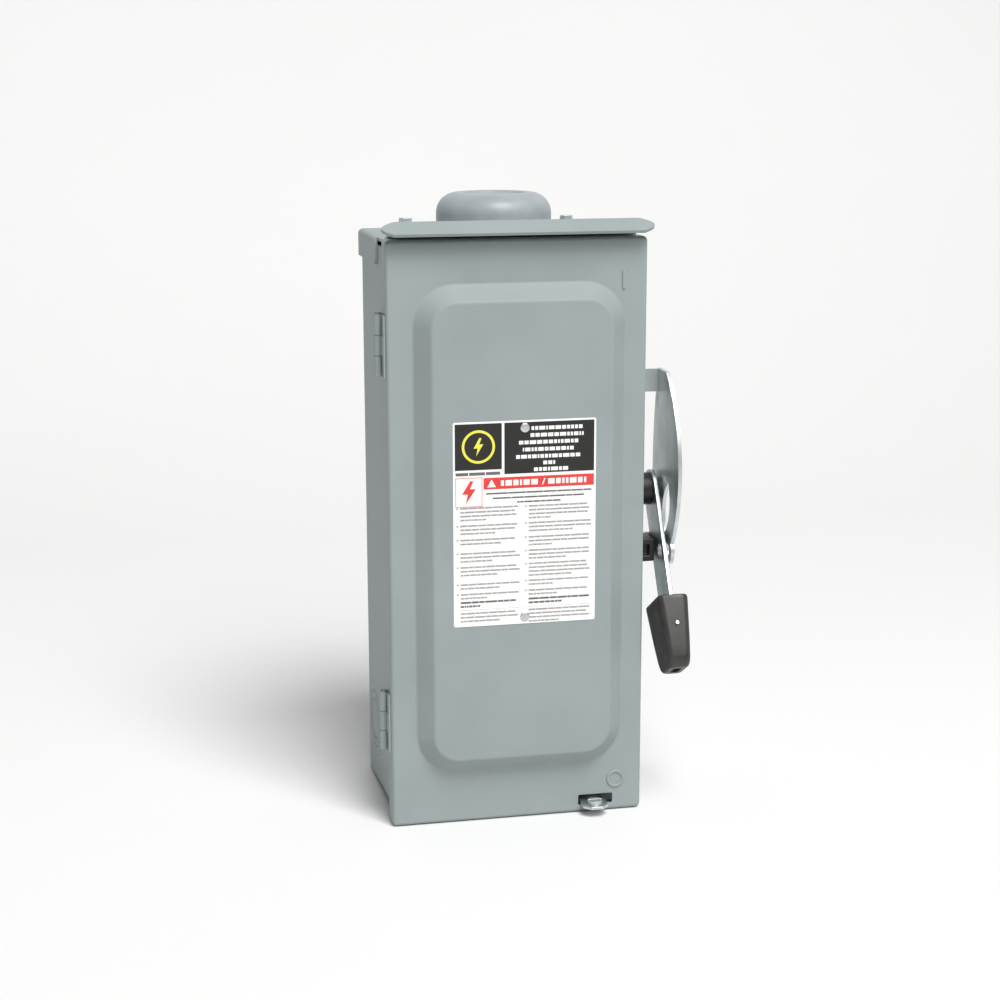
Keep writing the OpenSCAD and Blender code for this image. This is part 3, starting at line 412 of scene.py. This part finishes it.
# ---------------------------------------------------------------- painted sheet pieces
PANEL_X, PANEL_Z = 1.0, 3.5
PANEL_HALF = np.array([56.0, 143.75])
PANEL_ROUND = 16.0
PANEL_BAND = 10.0
PAN_ROUND = 3
PAN_FOLD = 2.4
PANEL_BENDS = [2.6, 3.4]
LEAST_ROUND = 0.4
cover_half = np.array([(cover_high[0] - cover_low[0]) / 2, (cover_high[2] - cover_low[2]) / 2])


def cover_rings(path, half, radius, x, z):
    """Rings of the pressed cover, one for each (inset, y) of the path.
    Each is a round-cornered rectangle that much smaller all round."""
    return [facing(round_rect(half[0] - inset, half[1] - inset, max(radius - inset, LEAST_ROUND)) + (x, z), y)
            for inset, y in path]


def cover_skin(away):
    """One side of the cover: the pan's lip and rim, then the panel's slope and top.
    away is how far this side is from the outer face."""
    rings = cover_rings(beside(pan, away), cover_half, PAN_ROUND, 0, 0)
    rings += cover_rings(beside(panel, away), foot_half, foot_round, PANEL_X, PANEL_Z)
    return loft(rings, caps=False)


pan = fillet_path([(0, lip_y), (0, cover_y), (6, cover_y)], [PAN_FOLD])
panel = fillet_path([(-5, cover_y), (0, cover_y), (PANEL_BAND, panel_y), (PANEL_BAND + 14, panel_y)],
                    PANEL_BENDS, 9)
foot_half = PANEL_HALF + PANEL_BAND
foot_round = PANEL_ROUND + PANEL_BAND
front_skin = cover_skin(0)
back_skin = cover_skin(SHEET)
# A strip joins the two skins along the lip, and one face closes each at the middle of its flat top
ring_size = len(front_skin[0]) // (len(pan) + len(panel))
shift = len(front_skin[0])
last = shift - ring_size
this_point = np.arange(ring_size)
next_point = (this_point + 1) % ring_size
cover_points, cover_faces = joined(front_skin, back_skin)
cover_faces += np.stack([this_point, next_point, next_point + shift, this_point + shift], -1).tolist()
cover_faces += [list(range(last, shift)), list(range(shift + last, 2 * shift))]
SLOT_X = 50.85
SLOT_UP = 8
SLOT_HALF = (11.35, 3.5)
slot_cut = prism(round_rect(*SLOT_HALF, 0.8, 5) + (SLOT_X, cover_low[2] + SLOT_UP),
                 facing, cover_y - 3, cover_y + 4)
piece("cover_pressing", "cover", (cover_points, cover_faces), cut=slot_cut)

# On and off marks: an upright bar and a ring, pressed out of the sheet with soft shoulders
MARK_HIGH = 0.9
BAR_HALF = np.array([1.3, 6.1])
BAR_AT = (66, shell_high[2] - 23)
HOOP_R = 4.9
HOOP_HALF = 1.1
HOOP_AT = (64, shell_low[2] + 20)


def ridge(loops, high, y):
    """Pressed ridge: rings from its foot up to its crest, each at its height off the sheet's face."""
    return loft([facing(loop, y - h) for loop, h in zip(loops, high)])


crest = [(0.0, -0.3), (0.1, 0.4 * MARK_HIGH), (0.4, 0.8 * MARK_HIGH), (0.9, MARK_HIGH)]
bar = ridge([round_rect(*(BAR_HALF - i), BAR_HALF[0] - i, 8) + BAR_AT for i, _ in crest],
            [high for _, high in crest], cover_y)
ring_turn = np.linspace(0, 2 * np.pi, 64, endpoint=False)
ring_way = np.column_stack([np.cos(ring_turn), np.sin(ring_turn)])
ring_mark = loft([facing(ring_way * (HOOP_R + way * (HOOP_HALF - i)) + HOOP_AT, cover_y - high)
                  for way, course in ((1, crest), (-1, crest[2::-1])) for i, high in course],
                 round_again=True)
marks = raw_object("on_off_marks", joined(bar, ring_mark))
finish(marks, finishes["painted_steel"], "cover")

# Body: back and sides from one folded sheet, its lower edge rising towards the front
BACK_ROUND = 3
BUSHING_R = 9.0
plan = fillet_path([(RIM - side, rim_y), (-side, rim_y), (-side, lip_y), (-side, 0), (side, 0), (side, lip_y),
                    (side, rim_y), (side - RIM, rim_y)],
                   [FOLD_ROUND, 0, BACK_ROUND, BACK_ROUND, 0, FOLD_ROUND])


def shell_foot(path):
    """Lower edge: straight from the back wall's foot up to the bottom wall where the cover's lip begins."""
    rise = np.clip(path[:, 1] / lip_y, 0, 1)
    return np.column_stack([path, shell_low[2] + rise * (floor_z - shell_low[2])])


def shell_head(path):
    """Upper edge: level with the ledge, and up to the deck along the back wall."""
    behind = np.clip((path[:, 1] + 3.2) / 1.5, 0, 1)
    return np.column_stack([path, ledge_z + behind * (shell_high[2] - ledge_z)])


knock_low, knock_high = corners("side_knockouts")
KNOCK = (knock_high[2] - knock_low[2]) / 2
knock_at = np.array([0, (knock_low[1] + knock_high[1]) / 2, (knock_low[2] + knock_high[2]) / 2])
bolt_mount = next(m for m in frame["record"]["mounts"] if m["name"] == "wall_bolts")
bolt_x, bolt_z = (bolt_mount["dims"][k] / 2 for k in ("spacing_x_mm", "spacing_y_mm"))
bolt_r = bolt_mount["dims"]["hole_r_mm"]
drills = [turned([(KNOCK, -side - 5), (KNOCK, side + 5)], knock_at, (1, 0, 0), 96),
          turned([(BUSHING_R, side - 6), (BUSHING_R, side + 6)], (0, pivot[1], pivot[2]), (1, 0, 0))]
drills += [turned([(bolt_r, -6), (bolt_r, 3)], (x, 0, z), (0, 1, 0), 40)
           for x in (-bolt_x, bolt_x) for z in (-bolt_z, bolt_z)]
piece("body_folding", "body_shell", folded(plan, beside(plan, -SHEET), shell_foot, shell_head),
      edge=SHEET_EDGE, cut=joined(*drills))


# Behind this place a cross sheet is flat and as wide as the box's inside
FLAT_FROM = rim_y + 2.7


def cross_sheet(path, half_wide, half_narrow):
    """Ends of a sheet folded in Y and Z and run across the box.
    Its turned flange, at the front, is narrower than the rest."""
    half = np.where(path[:, 0] > FLAT_FROM - 0.1, half_wide, half_narrow)
    return (lambda p: np.column_stack([-half, p]), lambda p: np.column_stack([half, p]))


floor_path = fillet_path([(-SHEET, floor_z), (FLAT_FROM, floor_z), (rim_y, floor_z),
                          (rim_y, floor_z + RIM)], [0, FOLD_ROUND])
ko_low, ko_high = corners("bottom_knockouts")
BOTTOM_KNOCK = (ko_high[1] - ko_low[1]) / 2
ko_x = (ko_low[0] + BOTTOM_KNOCK, ko_high[0] - BOTTOM_KNOCK)
ko_y = (ko_low[1] + ko_high[1]) / 2
through_floor = [(BOTTOM_KNOCK, floor_z - 4), (BOTTOM_KNOCK, floor_z + 5)]
floor_drills = joined(*[turned(through_floor, (x, ko_y, 0), (0, 0, 1), 96) for x in ko_x])
piece("bottom_folding", "body_bottom",
      folded(floor_path, beside(floor_path, -SHEET), *cross_sheet(floor_path, side - SHEET, side - RIM)),
      edge=SHEET_EDGE, cut=floor_drills)
ledge_path = fillet_path([(ledge_high[1], ledge_z), (FLAT_FROM, ledge_z), (rim_y, ledge_z),
                          (rim_y, ledge_z - RIM)], [0, FOLD_ROUND])
piece("ledge_folding", "body_ledge",
      folded(ledge_path, beside(ledge_path, SHEET), *cross_sheet(ledge_path, side - SHEET, side - RIM)),
      edge=SHEET_EDGE)


# Knockouts: nested rings left hanging in their holes, parted by stamped grooves
def knockout_profile(r):
    """Half section of a stamped disc: flat lands parted by grooves.
    Its rim has the slight roll that a punch leaves."""
    lands = [(r - 0.25, 0.0)]
    for share in (0.76, 0.54):
        groove = r * share
        lands += [(groove + 0.75, 0.0), (groove + 0.35, -0.55), (groove - 0.35, -0.55), (groove - 0.75, 0.0)]
    return [(r - 0.12, -SHEET), (r - 0.12, -0.15), *lands, (0.4, 0.0)]


for name, node, radius, places in (
    ("side_knockout_discs", "side_knockouts", KNOCK,
     [((s * side, knock_at[1], knock_at[2]), (s, 0, 0)) for s in (-1, 1)]),
    ("bottom_knockout_discs", "bottom_knockouts", BOTTOM_KNOCK,
     [((x, ko_y, floor_z), (0, 0, -1)) for x in ko_x]),
):
    piece(name, node, joined(*[turned(knockout_profile(radius), at, way, 96) for at, way in places]))

# Hood: deck, rain dam and drip lip from one sheet, with side flanges bent down behind
DECK_FRONT = rim_y + 18
FOLD_HALF = side - 5.3
LIP_HALF = side + 4.9
FLANGE_FRONT = -71.0
FLANGE_ROUND = 4.0
FLANGE_DOWN = 17
LIP_DOWN = 7.2
NOSE_START = 0.06
NOSE_SPAN = 0.8
nose_low = round(math.sin(NOSE_START * math.pi), 3)
fold_z = hood_high[2]
lip_end = np.array([hood_low[1] + 0.15, fold_z - LIP_DOWN])
deck_z = shell_high[2] + HOOD_SHEET
hood_path = fillet_path([(FLANGE_FRONT, deck_z), (DECK_FRONT, deck_z), (rim_y, fold_z), lip_end], [4, 2.6])
along_lip = np.linspace(0.12, 1, 16)[:, None]
hood_path = np.vstack([hood_path[:-1], hood_path[-2] + along_lip * (hood_path[-1] - hood_path[-2])])
lip_share = np.clip((rim_y - hood_path[:, 0]) / (rim_y - lip_end[0]), 0, 1)
dam_share = np.clip((DECK_FRONT - hood_path[:, 0]) / (DECK_FRONT - rim_y), 0, 1)
hood_half = side + dam_share * (FOLD_HALF - side)
# The lip's ends are rounded: along the lip the half-width follows part of a sine arch
bulge = (np.sin(np.pi * (NOSE_START + NOSE_SPAN * lip_share)) - nose_low) / (1 - nose_low)
hood_half = np.where(lip_share > 0, FOLD_HALF + (LIP_HALF - FOLD_HALF) * bulge, hood_half)
front_hood = folded(hood_path, beside(hood_path, HOOD_SHEET), lambda p: np.column_stack([-hood_half, p]),
                    lambda p: np.column_stack([hood_half, p]))
flange_z = deck_z - FLANGE_DOWN
low_leg = flange_z + FLANGE_ROUND * (1 - np.cos(np.linspace(0, np.pi / 2, 8)))
saddle_half = side + HOOD_SHEET
saddle = fillet_path([(-saddle_half, flange_z), (-saddle_half, deck_z), (saddle_half, deck_z),
                      (saddle_half, flange_z)], [3.2, 3.2], 9)
saddle = np.vstack([np.column_stack([np.full(8, -saddle_half), low_leg]), saddle[1:-1],
                    np.column_stack([np.full(8, saddle_half), low_leg[::-1]])])
saddle_in = beside(saddle, -HOOD_SHEET)


def saddle_front(path):
    """Front edge of the side flanges: upright, with a round lower corner."""
    under = np.clip((flange_z + FLANGE_ROUND - path[:, 1]) / FLANGE_ROUND, 0, 1)
    back = FLANGE_ROUND * (1 - np.sqrt(1 - under ** 2))
    return np.column_stack([path[:, 0], FLANGE_FRONT + back, path[:, 1]])


def saddle_back(path):
    """Back edge of the hood, in the plane of the wall."""
    return np.column_stack([path[:, 0], np.zeros(len(path)), path[:, 1]])


THROAT_R = 29.5
hub_y = (cap_low[1] + cap_high[1]) / 2
throat = turned([(THROAT_R, deck_z - 8), (THROAT_R, deck_z + 5)], (0, hub_y, 0), (0, 0, 1))
piece("hood_folding", "top_hood", front_hood, edge=0.25, cut=throat,
      add_on=folded(saddle, saddle_in, saddle_front, saddle_back))

# Hub cap: a plate with ears for its screws, and a turned dome with a round shoulder and a shallow dished top
PLATE = 2.0
PLATE_HALF = np.array([59.5, 28.5])
PLATE_CORNER = 6
PLATE_MIDDLE = 38
DOME_R = 36.5
DISH_DEEP = 1.6
dome_top = cap_high[2] - cap_low[2]
plate_z = cap_low[2]


def plate_ring(inset):
    """Outline of the plate: at each angle, the farther of a round-cornered rectangle and a circle.
    Both are smaller by the inset; 40 points on each straight run keep the outline true between corners."""
    rect = round_rect(*(PLATE_HALF - inset), PLATE_CORNER, 24)
    along = np.linspace(0, 1, 40, endpoint=False)[:, None]
    rect = (rect[:, None] + along * (np.roll(rect, -1, 0) - rect)[:, None]).reshape(-1, 2)
    angle = np.arctan2(rect[:, 1], rect[:, 0])
    order = np.argsort(angle)
    turn = np.linspace(-np.pi, np.pi, 240, endpoint=False)
    reach = np.interp(turn, angle[order], np.hypot(*rect[order].T), period=2 * np.pi)
    reach = np.maximum(reach, PLATE_MIDDLE - inset)
    return np.column_stack([reach * np.cos(turn), reach * np.sin(turn) + hub_y])


plate_rings = [level(plate_ring(i), plate_z + h) for i, h in
               [(0.5, 0), (0.15, 0.1), (0, 0.4), (0, PLATE - 0.7), (0.2, PLATE - 0.2), (0.7, PLATE)]]
dome_path = fillet_path(
    [(DOME_R + 1.4, PLATE - 0.6), (DOME_R, PLATE + 1.4), (DOME_R, dome_top), (DOME_R - 16.5, dome_top),
     (DOME_R - 18.0, dome_top - DISH_DEEP), (0.5, dome_top - DISH_DEEP)], [1.4, 12.9, 1.0, 1.2], 16)
piece("hub_cap_casting", "hub_cap",
      joined(loft(plate_rings), turned(dome_path, (0, hub_y, plate_z), (0, 0, 1), 128)))

# ---------------------------------------------------------------- label
label_front = label_low[1]
label_left = label_low[0]
label_top = label_high[2]
label_half = (label_high - label_low)[[0, 2]] / 2
label_middle = (label_high + label_low)[[0, 2]] / 2
INK_SUNK = 0.01
INK_HIGH = 0.03
TOP_INK_HIGH = 0.06
film = [facing(round_rect(*(label_half - i), 1.2, 6) + label_middle, y)
        for i, y in [(0, label_high[1]), (0, label_front + 0.08), (0.08, label_front)]]
piece("label_sheet", "cover_label", loft(film))
printed = {name: [] for name in ink}


def on_label(colour, loop, lift=INK_HIGH):
    """Prints a flat shape on the film.
    loop is in millimetres right of the label's left edge and down from its top."""
    loop = np.asarray(loop, float)
    loop = np.column_stack([label_left + loop[:, 0], label_top - loop[:, 1]])
    printed[colour].append(prism(loop, facing, label_front + INK_SUNK, label_front - lift))


def block(colour, x0, z0, x1, z1, lift=INK_HIGH):
    """Prints a rectangle between two corners."""
    on_label(colour, [(x0, z0), (x1, z0), (x1, z1), (x0, z1)], lift)


def hoop(colour, x, z, outer, inner, lift=INK_HIGH):
    """Prints a ring as a closed band between two radii."""
    centre = (label_left + x, label_top - z)
    foot, top = label_front + INK_SUNK, label_front - lift
    edges = [(outer, foot), (outer, top), (inner, top), (inner, foot)]
    printed[colour].append(loft([facing(ring_way * r + centre, y) for r, y in edges], round_again=True))


chance = np.random.default_rng(7)


def word_bars(colour, x0, x1, z, high, words, lift=INK_HIGH):
    """A line of print as plain bars: the run is parted at seeded places into bars a gap apart."""
    steps = np.cumsum(np.concatenate([[0], chance.uniform(0.5, 1.5, words)]))
    ends = x0 + (x1 - x0) * steps / steps[-1]
    for a, b in zip(ends[:-1], ends[1:]):
        block(colour, a, z - high / 2, max(b - 0.28 * high, a + 0.3), z + high / 2, lift)


# Flash of lightning, drawn round its middle
flash = np.array([(0.55, -5.2), (-2.9, 0.9), (-0.5, 0.9), (-1.3, 5.4), (2.9, -1.5), (0.5, -1.5), (1.9, -5.2)])
# Black square with the yellow sign, and black square with seven lines of large print
block("black", 1.2, 1.1, 30.3, 29.6)
hoop("yellow", 15.8, 15.3, 10.3, 8.7, TOP_INK_HIGH)
on_label("yellow", flash * 1.05 + (15.8, 15.3), TOP_INK_HIGH)
word_bars("dark", 1.6, 29.8, 32.0, 1.9, 3)
block("black", 31.9, 1.1, 88.3, 32.8)
for z, x0, x1, words in ((5.0, 48.8, 81.5, 11), (9.3, 48.2, 82.2, 11), (13.7, 41, 78.8, 12),
                         (18.1, 43.4, 76, 11), (22.5, 39.2, 80.1, 13), (26.6, 56.2, 64.3, 3),
                         (30.6, 50.4, 72.5, 7)):
    word_bars("white", x0, x1, z, 2.3, words, TOP_INK_HIGH)
# Red band with a warning triangle, two words and a stroke between them
block("red", 18.9, 34.7, 88.3, 41.9)
on_label("white", [(23.9, 35.8), (26.6, 40.6), (21.2, 40.6)], TOP_INK_HIGH)
word_bars("white", 29.7, 53.8, 38.3, 3.4, 6, TOP_INK_HIGH)
word_bars("white", 59.3, 84.4, 38.3, 3.4, 7, TOP_INK_HIGH)
on_label("white", [(56.9, 36.3), (57.7, 36.3), (56.1, 40.3), (55.3, 40.3)], TOP_INK_HIGH)
# Pink frame round the red sign, then the lines beside it
for x0, z0, x1, z1 in ((1.4, 34.2, 18.2, 34.7), (1.4, 52.0, 18.2, 52.5), (1.4, 34.2, 1.9, 52.5),
                       (17.7, 34.2, 18.2, 52.5)):
    block("pink", x0, z0, x1, z1)
on_label("red", flash * 1.35 * (1.1, 1) + (9.8, 43.3))
for z, x0, x1 in ((44.6, 20.4, 87.0), (47.6, 24.6, 82.3), (50.5, 39.7, 67.5)):
    word_bars("dark", x0, x1, z, 1.0, 7)
# Two columns of small print, in groups of (height of the first line, number of lines)
# The first seven groups have a dot, and the next one is bold
LINE_STEP = 2.45
DOTTED = 7
columns = (
    (2.5, 4.3, 42.0, ((53.2, 4), (64.2, 3), (73.1, 2), (81.6, 3), (90.3, 3), (101.2, 2), (107.4, 2),
                      (112.6, 2), (119.6, 3))),
    (45.4, 47.1, 87.4, ((53.4, 4), (64.0, 3), (72.9, 3), (81.4, 3), (89.8, 4), (100.5, 2), (106.8, 2),
                        (112.2, 2), (119.2, 4))),
)
for x_dot, x0, x1, groups in columns:
    for number, (z, lines) in enumerate(groups):
        colour, high = ("dark", 1.25) if number == DOTTED else ("grey", 1.1)
        if number < DOTTED:
            hoop("dark", x_dot, z, 0.5, 0.12)
        for k in range(lines):
            if k < lines - 1:
                reach = x1 - chance.uniform(0, 3.5)
            else:
                reach = x0 + (x1 - x0) * chance.uniform(0.3, 0.7)
            word_bars(colour, x0, reach, z + k * LINE_STEP, high, 7)
block("grey", 1.6, 117.3, 87.8, 117.5)
for colour, shapes in printed.items():
    print_layer = raw_object("label_print_" + colour, joined(*shapes))
    finish(print_layer, ink[colour], "cover")

rivet_low, rivet_high = corners("label_rivets")
RIVET_R = 3.0
rivet_x = (rivet_low[0] + rivet_high[0]) / 2
rivet_head = [(RIVET_R, 0.0), (RIVET_R, 0.25), (2.75, 0.55), (2.2, 0.74), (1.3, 0.8), (0.3, 0.8)]
piece("label_rivet_heads", "label_rivets",
      joined(*[turned(rivet_head, (rivet_x, rivet_high[1], z), (0, -1, 0), 40)
               for z in (rivet_low[2] + RIVET_R, rivet_high[2] - RIVET_R)]))

# ---------------------------------------------------------------- handle
REST_TURN = math.radians(150)


def across_lever(loop, u):
    """Loop laid square across the lever, u along it from the shaft.
    Its first column runs across the box, its second behind the lever."""
    a = REST_TURN + math.pi / 2
    v = loop[:, 1]
    return np.column_stack([loop[:, 0] + grip_x, pivot[1] + u * math.cos(a) - v * math.sin(a),
                            pivot[2] + u * math.sin(a) + v * math.cos(a)])


grip_x = (lever_low[0] + lever_high[0]) / 2
GRIP_END = 122.0
# Sections of the grip: how far from the shaft, thickness, depth and corner radius
grip_sections = [(77.6, 12.0, 27.0, 3.0), (76.5, 16.6, 31.6, 3.6), (76.2, 18.2, 33.2, 4.0),
                 (76.6, 19.4, 34.4, 4.2),
                 (77.6, 19.9, 34.9, 4.2), (79.0, 20.0, 35.0, 4.2), (88.0, 18.8, 33.9, 4.2),
                 (98.0, 17.6, 32.4, 4.2),
                 (108.0, 16.3, 30.4, 4.2), (115.0, 15.4, 28.3, 4.2), (118.0, 14.8, 26.6, 4.2),
                 (120.0, 14.0, 24.6, 4.0),
                 (121.3, 12.6, 22.2, 3.6), (121.9, 10.8, 19.6, 3.2), (GRIP_END, 9.0, 17.4, 2.6)]
grip_rings = [across_lever(round_rect(thick / 2, deep / 2, radius, 9), u)
              for u, thick, deep, radius in grip_sections]
grip_slot = prism(round_rect(2.6, 5, 0.8, 5), across_lever, GRIP_END - 2.2, GRIP_END + 2)
piece("grip_moulded", "handle_grip", loft(grip_rings), edge=0.25, cut=grip_slot)

spring_low, spring_high = corners("toggle_spring")
COIL_R = 8.4
WIRE_R = 0.9
COILS = 5
wind = np.linspace(0, 2 * np.pi * COILS, 40 * COILS)
wire_turn = np.linspace(0, 2 * np.pi, 14, endpoint=False)
coil_out = COIL_R + WIRE_R * np.cos(wire_turn)
coil_x = spring_low[0] + WIRE_R + (spring_high[0] - spring_low[0] - 2 * WIRE_R) * wind / wind[-1]
coil_rings = np.stack([coil_x[:, None] + WIRE_R * np.sin(wire_turn),
                       pivot[1] + coil_out * np.cos(wind)[:, None],
                       pivot[2] + coil_out * np.sin(wind)[:, None]], -1)
piece("toggle_spring_wound", "toggle_spring", loft(coil_rings))

# Guard: each of its two legs is bent at the plate and, inside and outside, at its foot
GUARD_SHEET = 2.5
guard_x = corners("handle_guard")[1][0]
guard_bends = []
for leg_y in (pivot[1] + 1.5, corners("lever_stop_block")[1][1] + 2.5):
    guard_bends += [(guard_x, leg_y - GUARD_SHEET, None, 3.4), (side + GUARD_SHEET, leg_y, None, 1.0),
                    (side, leg_y - GUARD_SHEET, None, 3.0)]
eased("handle_guard", 0.5, guard_bends)
eased("handle_lever", 0.6)
eased("cover_hasp", 0.35)

# ---------------------------------------------------------------- the other pieces, with eased edges
easing = {
    "hub_gasket": 0.2, "hub_screws": 0.3, "hasp_screw": 0.5, "body_hinge_leaves": 0.25,
    "hinge_pins": 0.25, "cover_hinge_leaves": 0.25, "guard_rivets": 0.6, "shaft_bushing": 0.4,
    "lever_stop_block": 0.8, "lever_hub": 0.6, "grip_screw": 0.2, "switch_base": 0.7,
    "base_screws": 0.4, "line_lugs": 0.6, "line_lug_screws": 0.3, "line_jaws": 0.35, "line_shield": 0.2,
    "blade_hinge_clips": 0.35, "blade_pivot_rivets": 0.4, "upper_fuse_clips": 0.25,
    "lower_fuse_clips": 0.25, "load_lugs": 0.6, "load_lug_screws": 0.3, "neutral_insulator": 0.5,
    "neutral_bar": 0.5, "neutral_screws": 0.2, "ground_bar": 0.5, "ground_screws": 0.2,
    "mechanism_frame": 0.3, "mechanism_screws": 0.3, "crossbar": 0.4, "switch_blades": 0.4,
    "handle_shaft": 0.5, "crank": 0.4, "interlock_hook": 0.35, "cover_catch": 0.3,
    "left_fuse_tube": 0.2, "left_fuse_caps": 0.8, "right_fuse_tube": 0.2, "right_fuse_caps": 0.8,
}
for node, edge in easing.items():
    eased(node, edge)

# ---------------------------------------------------------------- floor, light and camera
# Roll of matt white paper: even, with the faint tooth of uncoated stock
floor_mat = surface("matt_white_paper", ("#E6E6E5", "#E8E8E7"), 900, (0.8, 0.9), 6, 0.01, **{"IOR": 1.45})
FLOOR_Z = -184.6
FLOOR_FRONT = -9000
FLOOR_BACK = 2200
FLOOR_TOP = 3600
FLOOR_HALF = 8000
FLOOR_BEND = 1500
sweep = fillet_path([(FLOOR_FRONT, FLOOR_Z), (FLOOR_BACK, FLOOR_Z), (FLOOR_BACK, FLOOR_TOP)],
                    [FLOOR_BEND], 24)
studio = raw_object("studio_floor", folded(sweep, beside(sweep, -5),
                                           lambda p: np.column_stack([np.full(len(p), -FLOOR_HALF), p]),
                                           lambda p: np.column_stack([np.full(len(p), FLOOR_HALF), p])))
studio.data.shade_smooth()
studio.data.materials.append(floor_mat)


# Square soft light above and in front, turned to face the box; places are in metres from here on
KEY_AT = (0.35, -1.3, 2.3)
key = bpy.data.lights.new("key", "AREA")
key.shape = "SQUARE"
key.size = 1.0
key.energy = 38
key_holder = bpy.data.objects.new("key", key)
key_holder.location = KEY_AT
key_holder.rotation_euler = (math.atan2(math.hypot(KEY_AT[0], KEY_AT[1]), KEY_AT[2]), 0,
                             math.atan2(KEY_AT[0], -KEY_AT[1]))
bpy.context.scene.collection.objects.link(key_holder)
sun = bpy.data.lights.new("wide_front_light", "SUN")
sun.energy = 1.95
sun.angle = math.radians(40)
sun_holder = bpy.data.objects.new("wide_front_light", sun)
sun_holder.rotation_euler = (math.radians(40), 0, math.radians(12))
bpy.context.scene.collection.objects.link(sun_holder)
world = bpy.data.worlds.new("studio_air")
world.use_nodes = True
air = world.node_tree.nodes["Background"].inputs
air["Color"].default_value = linear("#F7F9FB")
air["Strength"].default_value = 0.2
bpy.context.scene.world = world
bpy.context.scene.view_settings.view_transform = "Standard"

# Camera: turned left, tilted down and rolled, in radians; its place is in metres
YAW = 0.21104
TILT = 0.21520
ROLL = -0.00172
EYE = (-0.25726, -1.26108, 0.28044)
forward = np.array([math.sin(YAW) * math.cos(TILT), math.cos(YAW) * math.cos(TILT), -math.sin(TILT)])
level_right = np.array([math.cos(YAW), -math.sin(YAW), 0.0])
level_up = np.cross(level_right, forward)
right = level_right * math.cos(ROLL) + level_up * math.sin(ROLL)
up = level_up * math.cos(ROLL) - level_right * math.sin(ROLL)
lens = bpy.data.cameras.new("camera")
lens.lens = 70.18
lens.clip_end = 50
camera = bpy.data.objects.new("camera", lens)
bpy.context.scene.collection.objects.link(camera)
place = np.eye(4)
place[:3, :3] = np.column_stack([right, up, -forward])
place[:3, 3] = EYE
camera.matrix_world = Matrix(place.tolist())
bpy.context.scene.camera = camera
